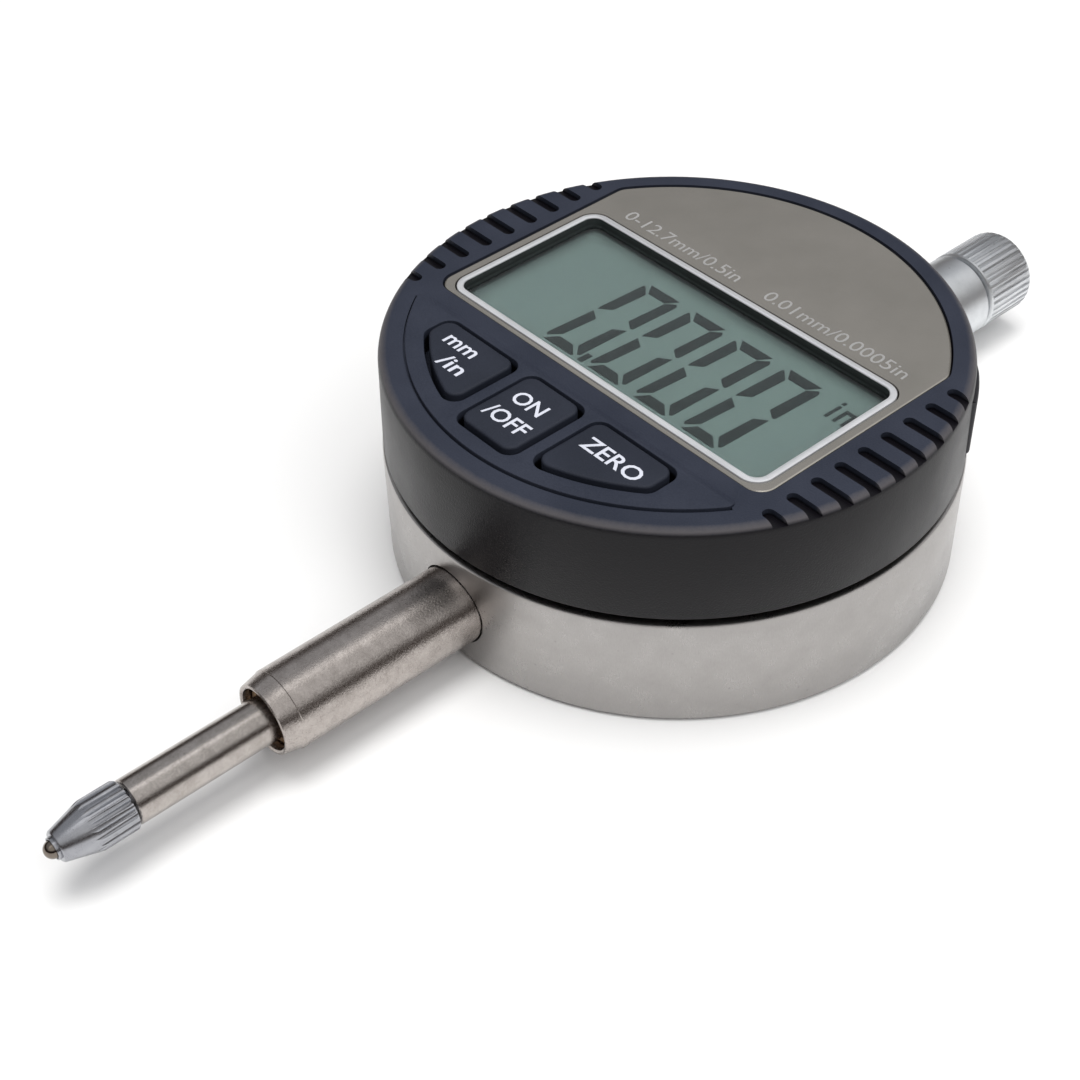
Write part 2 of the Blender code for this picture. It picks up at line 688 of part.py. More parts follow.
def make_main_board(head, drawer):
    disc = rod_profile(BOARD_RADIUS, BOARD_BOTTOM, BOARD_TOP)
    board = turned("main_board", disc, head, BOARD_GREEN, steps=40)
    below = BOARD_BOTTOM - 0.001
    above = BOARD_TOP + 0.001
    cut(
        board,
        cylinders("battery_hole", [(BATTERY_DISTANCE, 0)], 0.0069, below, above, drawer, steps=32),
        box("battery_way", (BATTERY_DISTANCE, -0.0069, below), (0.0270, 0.0069, above), drawer),
        cylinders("post_holes", HEAD_SCREWS, 0.0018, below, above, head, steps=20),
        cylinders("board_holes", BOARD_SCREWS, 0.0008, below, above, head, steps=12),
    )
    chip_top = BOARD_BOTTOM - GAP
    box("controller_chip", (-0.0190, -0.0055, 0.0157), (-0.0120, 0.0015, chip_top), head, CHIP_BLACK)
    names = ["board_screw_1", "board_screw_2"]
    screws(names, BOARD_SCREWS, POLISHED_STEEL, 0.0012, 0.0163, 0.0169, 0.0203, head, False)


def make_keys(head):
    """Each key has a cap in its well, a flange under the face and a tact switch below."""
    for i, (name, (x_low, x_high)) in enumerate(KEY_SPANS.items()):
        cap = key_outline(x_low, x_high, KEY_GAP, 0.0012)
        key = plate(name, [cap], 0.0206, KEY_TOP, head, BLACK_PLASTIC)
        edge = key.modifiers.new("edge", "BEVEL")
        edge.width = 0.00025
        edge.segments = 2
        edge.limit_method = "ANGLE"
        edge.angle_limit = math.radians(60)
        flange = key_outline(x_low, x_high, -0.0004, 0.0014)
        join(key, plate(name + "_flange", [flange], 0.0203, 0.0209, head))
        x, y = SWITCH_PLACES[name]
        half = 0.0022
        base = BOARD_TOP + GAP
        high = (x + half, y + half, 0.0192)
        switch = box(f"key_switch_{i + 1}", (x - half, y - half, base), high, head, CHIP_BLACK)
        join(switch, cylinders(name + "_plunger", [(x, y)], 0.0010, 0.0188, 0.0196, head))


def make_battery_drawer(drawer):
    """A door in the housing's wall that carries a cup for the button cell, and the two contact leaves."""
    floor = 0.0143
    centre = [(BATTERY_DISTANCE, 0)]
    wall = tube_profile(0.0270, 0.0288, 0.0145, 0.0206)
    door = turned("battery_drawer", wall, drawer, BLACK_PLASTIC, 128, True)
    span = box("door_span", (0.0200, -0.0090, 0.0140), (0.0300, 0.0090, 0.0215), drawer)
    combine(door, span, "INTERSECT")
    cup = cylinders("cup", centre, 0.0066, floor, 0.0168, drawer, steps=32)
    tray = box("tray", (BATTERY_DISTANCE, -0.0066, floor), (0.0275, 0.0066, 0.0168), drawer)
    join(door, tray, cup)
    cut(door, cylinders("cup_inside", centre, 0.0061, floor + GAP, 0.0180, drawer, steps=32))
    cell = [
        (0, BATTERY_BOTTOM + BATTERY_HEIGHT),
        (0.0042, BATTERY_BOTTOM + BATTERY_HEIGHT),
        (0.0044, BATTERY_BOTTOM + BATTERY_HEIGHT - 0.0003),
        (BATTERY_RADIUS - 0.0004, BATTERY_BOTTOM + BATTERY_HEIGHT - 0.0004),
        (BATTERY_RADIUS, BATTERY_BOTTOM + BATTERY_HEIGHT - 0.0008),
        (BATTERY_RADIUS, BATTERY_BOTTOM + 0.0003),
        (BATTERY_RADIUS - 0.0003, BATTERY_BOTTOM),
        (0, BATTERY_BOTTOM),
    ]
    turned("button_cell", cell, drawer, POLISHED_STEEL, steps=40).location = (BATTERY_DISTANCE, 0, 0)
    foot = BOARD_TOP + GAP
    top_leaf = box("top_contact", (0.0129, -0.0006, foot), (0.0131, 0.0024, 0.0208), drawer, POLISHED_STEEL)
    join(top_leaf, box("top_contact_leaf", (0.0129, -0.0006, 0.0206), (0.0190, 0.0024, 0.0208), drawer))
    box("side_contact", (0.0142, 0.0040, foot), (0.0144, 0.0056, 0.0200), drawer, POLISHED_STEEL)


def bake_shapes():
    """Gives each sub-part its finished mesh, smooth where it is round and sharp at its edges."""
    bpy.context.view_layer.update()
    graph = bpy.context.evaluated_depsgraph_get()
    sub_parts = [obj for obj in part_collection.objects if obj.type == "MESH"]
    meshes = [bpy.data.meshes.new_from_object(obj.evaluated_get(graph)) for obj in sub_parts]
    for obj, mesh in zip(sub_parts, meshes):
        obj.modifiers.clear()
        obj.data = mesh
        mesh.shade_smooth()
        mesh.set_sharp_from_angle(angle=math.radians(30))


def main():
    clear_scene()
    stem_line = make_case()
    spindle_line = empty_at("spindle_line", (0, 0, AXIS_HEIGHT), (-math.pi / 2, 0, 0))
    head = empty_at("head_axis", (0, 0, 0))
    drawer = empty_at("drawer_line", (0, 0, 0), (0, 0, DRAWER_ANGLE))
    drawer.parent = head
    make_back_cover()
    make_stem(stem_line)
    make_dust_cap(stem_line)
    make_spindle(spindle_line)
    make_contact_point(spindle_line)
    make_carriage(spindle_line)
    make_sensor_board()
    make_guide_rail()
    make_spring()
    make_ribbon()
    make_front_housing(head, drawer)
    make_head_base(head)
    make_display(head)
    make_main_board(head, drawer)
    make_keys(head)
    make_battery_drawer(drawer)
    bake_shapes()


main()
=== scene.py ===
import json
import math

import bmesh
import bpy
from mathutils import Matrix, Vector


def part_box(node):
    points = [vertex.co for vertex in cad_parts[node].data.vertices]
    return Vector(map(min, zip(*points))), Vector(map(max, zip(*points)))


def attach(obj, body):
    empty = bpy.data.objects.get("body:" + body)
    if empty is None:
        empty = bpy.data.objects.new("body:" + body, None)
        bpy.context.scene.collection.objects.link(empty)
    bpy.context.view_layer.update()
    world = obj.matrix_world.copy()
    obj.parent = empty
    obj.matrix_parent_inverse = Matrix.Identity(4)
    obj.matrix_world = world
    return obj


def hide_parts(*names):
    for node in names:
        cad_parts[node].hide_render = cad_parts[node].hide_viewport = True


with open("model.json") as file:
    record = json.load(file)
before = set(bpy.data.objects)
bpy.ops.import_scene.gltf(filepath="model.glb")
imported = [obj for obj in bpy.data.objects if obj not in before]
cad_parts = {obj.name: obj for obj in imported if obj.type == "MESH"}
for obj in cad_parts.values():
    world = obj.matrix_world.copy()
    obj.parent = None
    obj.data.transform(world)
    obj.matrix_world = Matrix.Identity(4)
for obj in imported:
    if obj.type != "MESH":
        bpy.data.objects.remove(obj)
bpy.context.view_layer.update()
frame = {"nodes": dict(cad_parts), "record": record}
mm = 0.001

# New pieces are modelled in millimetres about the CAD origin, and finishPiece brings them to metres.


def boxMm(node):
    low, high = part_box(node)
    return low / mm, high / mm


def letGo():
    bpy.ops.object.select_all(action="DESELECT")


def only(obj):
    letGo()
    obj.select_set(True)
    bpy.context.view_layer.objects.active = obj


def editing(obj, kind="EDGE"):
    only(obj)
    bpy.ops.object.mode_set(mode="EDIT")
    bpy.ops.mesh.select_mode(type=kind)
    bpy.ops.mesh.select_all(action="DESELECT")


def takeAll():
    bpy.ops.mesh.select_all(action="SELECT")


def objectMode():
    bpy.ops.object.mode_set(mode="OBJECT")


def pick(obj, kind, test):
    bpy.ops.mesh.select_all(action="DESELECT")
    shape = bmesh.from_edit_mesh(obj.data)
    shape.normal_update()
    for item in getattr(shape, kind):
        if test(item):
            item.select_set(True)
    bmesh.update_edit_mesh(obj.data)


def settle(obj):
    only(obj)
    bpy.ops.object.transform_apply(location=True, rotation=True, scale=True)
    return obj


def facing(obj):
    editing(obj)
    takeAll()
    bpy.ops.mesh.remove_doubles(threshold=0.0005)
    bpy.ops.mesh.normals_make_consistent(inside=False)
    objectMode()
    return obj


def roundStock(name, rings, steps=96, loop=False):
    # A circle drawn out and scaled ring by ring. A loop comes back to its first ring, as a tube does.
    radius, height = rings[0]
    letGo()
    filling = "NOTHING" if loop else "NGON"
    place = (0, 0, height)
    bpy.ops.mesh.primitive_circle_add(vertices=steps, radius=radius, fill_type=filling, location=place)
    obj = settle(bpy.context.object)
    obj.name = name
    editing(obj)
    takeAll()
    path = rings[1:] + rings[:1] if loop else rings[1:]
    if not loop:
        bpy.ops.mesh.select_mode(type="EDGE")
    for newRadius, newHeight in path:
        bpy.ops.mesh.extrude_edges_move(TRANSFORM_OT_translate={"value": (0, 0, newHeight - height)})
        share = newRadius / radius
        bpy.ops.transform.resize(value=(share, share, 1), center_override=(0, 0, newHeight))
        radius, height = newRadius, newHeight
    if not loop:
        bpy.ops.mesh.edge_face_add()
    objectMode()
    return facing(obj)


def block(name, low, high):
    letGo()
    middle = [(a + b) / 2 for a, b in zip(low, high)]
    bpy.ops.mesh.primitive_cube_add(size=1, location=middle)
    obj = bpy.context.object
    obj.name = name
    obj.scale = [b - a for a, b in zip(low, high)]
    return settle(obj)


def rod(name, radius, low, high, place=(0, 0), steps=32, coneTop=None):
    letGo()
    top = radius if coneTop is None else coneTop
    size = {"radius1": radius, "radius2": top, "depth": high - low}
    bpy.ops.mesh.primitive_cone_add(vertices=steps, location=(*place, (low + high) / 2), **size)
    obj = bpy.context.object
    obj.name = name
    return settle(obj)


def carve(obj, cutter, operation="DIFFERENCE"):
    only(obj)
    modifier = obj.modifiers.new("carve", "BOOLEAN")
    modifier.object = cutter
    modifier.operation = operation
    bpy.ops.object.modifier_apply(modifier=modifier.name)
    bpy.data.objects.remove(cutter)
    return obj


def copied(obj, turn=0.0, shift=(0, 0, 0)):
    other = obj.copy()
    other.data = obj.data.copy()
    bpy.context.scene.collection.objects.link(other)
    other.location = shift
    other.rotation_euler = (0, 0, turn)
    return settle(other)


def joined(pieces):
    letGo()
    for piece in pieces:
        piece.select_set(True)
    bpy.context.view_layer.objects.active = pieces[0]
    bpy.ops.object.join()
    return bpy.context.object


def ringOf(obj, count):
    copies = [copied(obj, 2 * math.pi * i / count) for i in range(count)]
    bpy.data.objects.remove(obj)
    return joined(copies)


def swell(points, radius, step=0.18):
    # The convex outline moved out by a radius, with a round at each corner as a rolling ball would leave it.
    outline = []
    for i, corner in enumerate(points):
        before, after = points[i - 1], points[(i + 1) % len(points)]
        into = math.atan2(corner[1] - before[1], corner[0] - before[0])
        bend = (math.atan2(after[1] - corner[1], after[0] - corner[0]) - into) % (2 * math.pi)
        count = max(1, round(bend / step))
        for j in range(count + 1) if count > 1 else (0.5,):
            angle = into - math.pi / 2 + bend * j / count
            outline.append((corner[0] + radius * math.cos(angle), corner[1] + radius * math.sin(angle)))
    return outline


def arcPoints(radius, start, end, steps):
    angles = [start + (end - start) * i / steps for i in range(steps + 1)]
    return [(radius * math.cos(a), radius * math.sin(a)) for a in angles]


def flatShapes(name, outlines, low, high):
    # A flat plate from closed outlines, drawn as a filled curve and made a mesh.
    curve = bpy.data.curves.new(name, "CURVE")
    curve.dimensions = "2D"
    curve.fill_mode = "BOTH"
    curve.extrude = (high - low) / 2
    for outline in outlines:
        spline = curve.splines.new("POLY")
        spline.points.add(len(outline) - 1)
        for point, (x, y) in zip(spline.points, outline):
            point.co = (x, y, 0, 1)
        spline.use_cyclic_u = True
    obj = bpy.data.objects.new(name, curve)
    bpy.context.scene.collection.objects.link(obj)
    only(obj)
    bpy.ops.object.convert(target="MESH")
    obj = bpy.context.object
    obj.location = (0, 0, (low + high) / 2)
    settle(obj)
    facing(obj)
    editing(obj, "FACE")
    takeAll()
    bpy.ops.mesh.dissolve_limited(angle_limit=0.01)
    objectMode()
    return obj


def breakEdge(obj, width, level, steps=3):
    # Breaks the edge all round the flat face at a level.
    editing(obj)

    def onRim(edge):
        flat = [abs(face.normal.z) > 0.9 for face in edge.link_faces]
        return sum(flat) == 1 and all(abs(v.co.z - level) < 0.005 for v in edge.verts)

    pick(obj, "edges", onRim)
    bpy.ops.mesh.bevel(offset=width, segments=steps, affect="EDGES", clamp_overlap=True)
    objectMode()
    return obj


def roundedPlate(name, xLow, xHigh, yLow, yHigh, low, high, corner):
    left, right = xLow + corner, xHigh - corner
    bottom, top = yLow + corner, yHigh - corner
    inner = [(left, bottom), (right, bottom), (right, top), (left, top)]
    return flatShapes(name, [swell(inner, corner)], low, high)


def finishPiece(obj, body, replaced, material, smooth=35):
    obj.scale = (mm, mm, mm)
    settle(obj)
    bpy.ops.object.shade_smooth_by_angle(angle=math.radians(smooth))
    obj.data.materials.clear()
    obj.data.materials.append(material)
    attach(obj, body)
    if replaced:
        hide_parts(*replaced)
    return obj


def alongStem(obj):
    # Turned pieces are drawn about Z. The stem's line runs along Y at the height of the stem's middle.
    low, high = boxMm("stem")
    obj.rotation_euler = (-math.pi / 2, 0, 0)
    obj.location = (0, 0, (low.z + high.z) / 2)
    return settle(obj)


# Shader groups, each used by several materials.


def newGroup(name, inputs, outputs):
    tree = bpy.data.node_groups.new(name, "ShaderNodeTree")
    for label, value in inputs.items():
        socket = tree.interface.new_socket(name=label, in_out="INPUT", socket_type="NodeSocketFloat")
        socket.default_value = value
    for label in outputs:
        tree.interface.new_socket(name=label, in_out="OUTPUT", socket_type="NodeSocketFloat")
    return tree, tree.nodes.new("NodeGroupInput").outputs, tree.nodes.new("NodeGroupOutput").inputs


def feed(tree, sockets, values):
    for key, value in values.items():
        if isinstance(value, bpy.types.NodeSocket):
            tree.links.new(value, sockets[key])
        else:
            sockets[key].default_value = value


def node(tree, kind, inputs=None, **settings):
    made = tree.nodes.new("ShaderNode" + kind)
    for key, value in settings.items():
        setattr(made, key, value)
    feed(tree, made.inputs, inputs or {})
    return made


def pieceSpace(tree):
    # Object coordinates in millimetres, so that a pattern's size reads as it is on the part.
    place = node(tree, "TexCoord").outputs["Object"]
    return node(tree, "Mapping", {"Vector": place, "Scale": [1 / mm] * 3}).outputs["Vector"]


def calc(tree, operation, a, b=0.0):
    return node(tree, "Math", {0: a, 1: b}, operation=operation).outputs[0]


def noise(tree, space, scale, detail, roughness=0.5):
    inputs = {"Vector": space, "Scale": scale, "Detail": detail, "Roughness": roughness}
    return node(tree, "TexNoise", inputs).outputs["Fac"]


def ramp(tree, value, low, high, first=0.0, last=1.0):
    inputs = {"Value": value, "From Min": low, "From Max": high, "To Min": first, "To Max": last}
    return node(tree, "MapRange", inputs).outputs[0]


def blendColour(tree, share, first, second):
    # On a colour mix the factor is input 0 and the two colours are inputs 6 and 7.
    made = tree.nodes.new("ShaderNodeMix")
    made.data_type = "RGBA"
    feed(tree, made.inputs, {0: share, 6: first, 7: second})
    return made.outputs[2]


def mouldGrainGroup():
    # The fine spark texture of moulded plastic: small dimples, with a slow change of tone over the part.
    inputs = {"Grain Size": 0.12, "Tone": 0.25}
    tree, given, result = newGroup("mouldGrain", inputs, ("Height", "Tone", "Gloss"))
    space = pieceSpace(tree)
    density = calc(tree, "DIVIDE", 1.0, given["Grain Size"])
    grain = noise(tree, space, density, 2.0, 0.6)
    patches = noise(tree, space, 0.14, 3.0, 0.55)
    specks = node(tree, "TexVoronoi", {"Vector": space, "Scale": 1.1}, feature="F1")
    dust = ramp(tree, specks.outputs["Distance"], 0.05, 0.10, 1.0, 0.0)
    tone = ramp(tree, patches, 0.3, 0.7)
    fine = ramp(tree, grain, 0.3, 0.7)
    mixed = calc(tree, "ADD", calc(tree, "MULTIPLY", tone, 0.6), calc(tree, "MULTIPLY", fine, 0.4))
    tree.links.new(grain, result["Height"])
    tree.links.new(calc(tree, "MULTIPLY", mixed, given["Tone"]), result["Tone"])
    patchGloss = calc(tree, "MULTIPLY", tone, 0.10)
    tree.links.new(calc(tree, "ADD", patchGloss, calc(tree, "MULTIPLY", dust, 0.06)), result["Gloss"])
    return tree


def metalGrainGroup():
    # Grinding or turning lines, with the cloudy blotches and pin marks of plated steel that has been handled.
    inputs = {"Along X": 1.0, "Along Y": 1.0, "Along Z": 1.0, "Line Size": 0.1, "Cloud Size": 3.0}
    tree, given, result = newGroup("metalGrain", inputs, ("Lines", "Clouds", "Marks"))
    space = pieceSpace(tree)
    along = {0: given["Along X"], 1: given["Along Y"], 2: given["Along Z"]}
    stretch = node(tree, "CombineXYZ", along).outputs[0]
    drawn = node(tree, "VectorMath", {0: space, 1: stretch}, operation="MULTIPLY").outputs[0]
    density = calc(tree, "DIVIDE", 1.0, given["Line Size"])
    lines = noise(tree, drawn, density, 3.0, 0.7)
    cloudy = calc(tree, "DIVIDE", 1.0, given["Cloud Size"])
    clouds = noise(tree, space, cloudy, 5.0, 0.6)
    pins = node(tree, "TexVoronoi", {"Vector": space, "Scale": 0.55}, feature="F1")
    pinMask = ramp(tree, pins.outputs["Distance"], 0.04, 0.09, 1.0, 0.0)
    tree.links.new(ramp(tree, lines, 0.3, 0.7), result["Lines"])
    tree.links.new(ramp(tree, clouds, 0.32, 0.68), result["Clouds"])
    tree.links.new(pinMask, result["Marks"])
    return tree


def bandGroup():
    # A soft band between two levels of a coordinate, broken up by noise as rubbing leaves it.
    inputs = {"Value": 0.0, "From": 0.0, "To": 1.0, "Ragged": 0.1}
    tree, given, result = newGroup("wornBand", inputs, ("Mask",))
    rubbed = noise(tree, pieceSpace(tree), 1.7, 4.0, 0.75)
    centred = calc(tree, "SUBTRACT", rubbed, 0.5)
    moved = calc(tree, "ADD", given["Value"], calc(tree, "MULTIPLY", centred, given["Ragged"]))
    tree.links.new(ramp(tree, moved, given["From"], given["To"]), result["Mask"])
    return tree


mouldGrain = mouldGrainGroup()
metalGrain = metalGrainGroup()
wornBand = bandGroup()


def grouped(tree, group, inputs):
    made = tree.nodes.new("ShaderNodeGroup")
    made.node_tree = group
    feed(tree, made.inputs, inputs)
    return made.outputs


def newMaterial(name, roughness, metallic=0.0, coat=0.0):
    material = bpy.data.materials.new(name)
    material.use_nodes = True
    tree = material.node_tree
    shader = tree.nodes["Principled BSDF"]
    shader.inputs["Roughness"].default_value = roughness
    shader.inputs["Metallic"].default_value = metallic
    shader.inputs["Coat Weight"].default_value = coat
    return material, tree, shader


def grey(value):
    return (value, value, value, 1)


def setSkin(tree, shader, colour, gloss):
    feed(tree, shader.inputs, {"Base Color": colour, "Roughness": gloss})


def setBump(tree, shader, height, distance):
    bump = node(tree, "Bump", {"Height": height, "Distance": distance * mm})
    tree.links.new(bump.outputs["Normal"], shader.inputs["Normal"])


def plasticMaterial(name, dark, light, roughness, grain, depth, rim=None, specular=0.35):
    material, tree, shader = newMaterial(name, roughness)
    shader.inputs["Specular IOR Level"].default_value = specular
    skin = grouped(tree, mouldGrain, {"Grain Size": grain, "Tone": 1.0})
    colour = blendColour(tree, skin["Tone"], (*dark, 1), (*light, 1))
    gloss = calc(tree, "ADD", skin["Gloss"], roughness - 0.04)
    if rim:
        place = node(tree, "SeparateXYZ", {0: pieceSpace(tree)}).outputs
        flat = node(tree, "CombineXYZ", {0: place[0], 1: place[1]}).outputs[0]
        distance = node(tree, "VectorMath", {0: flat}, operation="LENGTH").outputs["Value"]
        outerBand = {"Value": distance, "From": rim["from"], "To": rim["to"], "Ragged": rim["ragged"]}
        upperBand = {"Value": place[2], "From": rim["low"], "To": rim["high"], "Ragged": rim["ragged"]}
        outer = grouped(tree, wornBand, outerBand)
        upper = grouped(tree, wornBand, upperBand)
        worn = calc(tree, "MULTIPLY", outer["Mask"], upper["Mask"])
        colour = blendColour(tree, calc(tree, "MULTIPLY", worn, rim["share"]), colour, (*rim["colour"], 1))
        # Painted shade: below sideTop the side wall and the floors of the grip notches take a near-black
        # colour, darker than the top face, as they lie in shade.
        side = ramp(tree, place[2], rim["sideTop"] - rim["sideFade"], rim["sideTop"], 1.0, 0.0)
        colour = blendColour(tree, side, colour, (*rim["sideShadeColour"], 1))
        gloss = calc(tree, "SUBTRACT", gloss, calc(tree, "MULTIPLY", side, rim["sideGloss"]))
    setSkin(tree, shader, colour, gloss)
    setBump(tree, shader, skin["Height"], depth)
    return material


def steelMaterial(name, bright, dull, rough, lines=(1, 1, 1), line=0.1, cloud=3.0, depth=0.002, spread=0.12):
    # The three shares of lines are along X, Y and Z: the grain is drawn out where its share is below 1.
    material, tree, shader = newMaterial(name, rough, 1.0)
    along = dict(zip(("Along X", "Along Y", "Along Z"), lines))
    grain = grouped(tree, metalGrain, {**along, "Line Size": line, "Cloud Size": cloud})
    halfLines = calc(tree, "MULTIPLY", grain["Lines"], 0.5)
    share = calc(tree, "ADD", halfLines, calc(tree, "MULTIPLY", grain["Clouds"], 0.5))
    colour = blendColour(tree, share, (*bright, 1), (*dull, 1))
    colour = blendColour(tree, calc(tree, "MULTIPLY", grain["Marks"], 0.25), colour, grey(0.12))
    setSkin(tree, shader, colour, ramp(tree, share, 0.0, 1.0, rough - spread / 2, rough + spread / 2))
    setBump(tree, shader, grain["Lines"], depth)
    return material


print("materials")
# The worn band at the rim is real wear; the side colour below sideTop is painted shade.
rimWearAndSideShade = {
    "from": 27.45,
    "to": 28.05,
    "low": 22.35,
    "high": 22.75,
    "share": 0.60,
    "colour": (0.115, 0.105, 0.105),
    "ragged": 0.35,
    "sideTop": 22.86,
    "sideFade": 0.3,
    "sideShadeColour": (0.0035, 0.003, 0.0045),
    "sideGloss": 0.16,
}
housingPlastic = plasticMaterial(
    "housingPlastic", (0.018, 0.022, 0.035), (0.033, 0.038, 0.056), 0.50, 0.16, 0.030,
    rim=rimWearAndSideShade, specular=0.24,
)
keyPlastic = plasticMaterial(
    "keyPlastic", (0.014, 0.017, 0.026), (0.025, 0.029, 0.043), 0.46, 0.12, 0.010, specular=0.28
)
innerPlastic = plasticMaterial(
    "innerPlastic", (0.016, 0.016, 0.019), (0.026, 0.026, 0.030), 0.50, 0.15, 0.006
)
partPlastic = plasticMaterial("partPlastic", (0.012, 0.012, 0.013), (0.024, 0.024, 0.026), 0.55, 0.08, 0.004)
rubberSkin = plasticMaterial("rubberSkin", (0.03, 0.03, 0.032), (0.06, 0.06, 0.064), 0.80, 0.06, 0.006)
legendPaint = plasticMaterial("legendPaint", (0.56, 0.58, 0.66), (0.68, 0.70, 0.78), 0.55, 0.06, 0.002)
plateEtch = plasticMaterial("plateEtch", (0.27, 0.268, 0.265), (0.35, 0.348, 0.345), 0.40, 0.08, 0.002)
# Painted shade for the walls that stand round the display.
wellShade = plasticMaterial("wellShade", (0.020, 0.026, 0.026), (0.03, 0.036, 0.036), 0.6, 0.1, 0.002)
ribbonAmber = plasticMaterial("ribbonAmber", (0.40, 0.20, 0.05), (0.55, 0.29, 0.09), 0.35, 0.5, 0.002)
caseSteel = steelMaterial(
    "caseSteel", (0.42, 0.405, 0.395), (0.36, 0.345, 0.335), 0.30, (1, 1, 0.25), depth=0.0015
)
coverSteel = steelMaterial(
    "coverSteel", (0.58, 0.57, 0.56), (0.44, 0.43, 0.42), 0.36, (0.06, 1, 1), line=0.08, cloud=5.0
)
stemSteel = steelMaterial(
    "stemSteel", (0.54, 0.495, 0.465), (0.33, 0.295, 0.275), 0.26, line=0.19, cloud=1.1, depth=0.0075
)
spindleSteel = steelMaterial(
    "spindleSteel", (0.53, 0.49, 0.465), (0.34, 0.31, 0.285), 0.23, (1, 0.8, 1), 0.15, 1.5, 0.0045, 0.10
)
tipSteel = steelMaterial(
    "tipSteel", (0.45, 0.455, 0.48), (0.31, 0.315, 0.34), 0.26, (0.5, 1, 0.5),
    line=0.06, cloud=1.2, spread=0.06,
)
capSteel = steelMaterial(
    "capSteel", (0.80, 0.82, 0.84), (0.66, 0.68, 0.70), 0.42, (0.5, 1, 0.5), line=0.06, cloud=1.5
)
ballCarbide = steelMaterial(
    "ballCarbide", (0.24, 0.205, 0.175), (0.18, 0.155, 0.13), 0.14, depth=0.0004, spread=0.04
)
bushBronze = steelMaterial(
    "bushBronze", (0.50, 0.34, 0.20), (0.30, 0.19, 0.11), 0.42, (1, 0.4, 1), line=0.08, cloud=1.0
)
screwSteel = steelMaterial("screwSteel", (0.64, 0.63, 0.62), (0.46, 0.45, 0.44), 0.28, line=0.08, cloud=1.0)
springSteel = steelMaterial("springSteel", (0.56, 0.56, 0.57), (0.38, 0.38, 0.39), 0.30, line=0.06, cloud=0.8)
cellSteel = steelMaterial("cellSteel", (0.74, 0.74, 0.73), (0.60, 0.60, 0.59), 0.24, line=0.05, cloud=2.0)


def plateMaterial():
    # Taupe metallic sheet with the soft grain of vacuum plating.
    material, tree, shader = newMaterial("plateTaupe", 0.22, 0.75)
    grain = grouped(tree, metalGrain, {"Along X": 0.3, "Line Size": 0.25, "Cloud Size": 9.0})
    colour = blendColour(tree, grain["Clouds"], (0.372, 0.350, 0.315, 1), (0.330, 0.312, 0.280, 1))
    setSkin(tree, shader, colour, ramp(tree, grain["Lines"], 0, 1, 0.18, 0.25))
    setBump(tree, shader, grain["Lines"], 0.0006)
    return material


def frameMaterial():
    material, tree, shader = newMaterial("frameSilver", 0.38, 0.5)
    grain = grouped(tree, metalGrain, {"Line Size": 0.15, "Cloud Size": 4.0})
    colour = blendColour(tree, grain["Clouds"], (0.74, 0.75, 0.77, 1), (0.64, 0.65, 0.67, 1))
    setSkin(tree, shader, colour, ramp(tree, grain["Lines"], 0, 1, 0.34, 0.42))
    setBump(tree, shader, grain["Lines"], 0.0003)
    return material


def glassMaterial():
    # Clear acrylic that lets the light through to the display below.
    material, tree, shader = newMaterial("windowAcrylic", 0.04)
    shader.inputs["Transmission Weight"].default_value = 1.0
    shader.inputs["IOR"].default_value = 1.38
    haze = noise(tree, pieceSpace(tree), 0.2, 3.0)
    tint = blendColour(tree, haze, (0.97, 0.98, 0.98, 1), (0.93, 0.95, 0.95, 1))
    tree.links.new(tint, shader.inputs["Base Color"])
    clear = node(tree, "BsdfTransparent", {"Color": (0.95, 0.96, 0.96, 1)})
    path = node(tree, "LightPath").outputs["Is Shadow Ray"]
    mixed = node(tree, "MixShader", {0: path, 1: shader.outputs[0], 2: clear.outputs[0]})
    tree.links.new(mixed.outputs[0], tree.nodes["Material Output"].inputs["Surface"])
    return material


def lcdMaterial(name, light, dark, roughness, paintedShadow=None):
    # Polariser film over the cell: an even grey-green with a faint fine mesh, with an optional painted shadow
    # along its top and left edges under the bezel.
    material, tree, shader = newMaterial(name, roughness)
    shader.inputs["Specular IOR Level"].default_value = 0.15
    space = pieceSpace(tree)
    fine = noise(tree, space, 7.0, 2.0)
    slow = noise(tree, space, 0.05, 1.0)
    fineShare = calc(tree, "MULTIPLY", fine, 0.3)
    share = calc(tree, "ADD", fineShare, calc(tree, "MULTIPLY", slow, 0.7))
    colour = blendColour(tree, share, (*dark, 1), (*light, 1))
    # Painted shadow: the film darkens towards its top and left edges, where the bezel's walls would shade it.
    if paintedShadow:
        place = node(tree, "SeparateXYZ", {0: space}).outputs
        upper = ramp(tree, place[1], paintedShadow["top"] - paintedShadow["wide"], paintedShadow["top"], 0.0, paintedShadow["share"])
        left = ramp(tree, place[0], paintedShadow["left"], paintedShadow["left"] + paintedShadow["wide"], paintedShadow["share"], 0.0)
        shade = calc(tree, "MAXIMUM", upper, left)
        colour = blendColour(tree, calc(tree, "POWER", shade, 1.6), colour, (*paintedShadow["colour"], 1))
    setSkin(tree, shader, colour, ramp(tree, fine, 0.3, 0.7, roughness - 0.03, roughness + 0.03))
    return material


def boardMaterial():
    # Solder mask over tracks that show as slightly raised, lighter lines.
    material, tree, shader = newMaterial("boardGreen", 0.35, 0.0, 0.4)
    space = pieceSpace(tree)
    layout = {"Vector": space, "Scale": 0.6, "Mortar Size": 0.04, "Mortar Smooth": 0.2}
    tracks = node(tree, "TexBrick", layout)
    colour = blendColour(tree, tracks.outputs["Fac"], (0.015, 0.13, 0.05, 1), (0.05, 0.24, 0.09, 1))
    setSkin(tree, shader, colour, ramp(tree, tracks.outputs["Fac"], 0, 1, 0.32, 0.42))
    setBump(tree, shader, tracks.outputs["Fac"], 0.02)
    return material


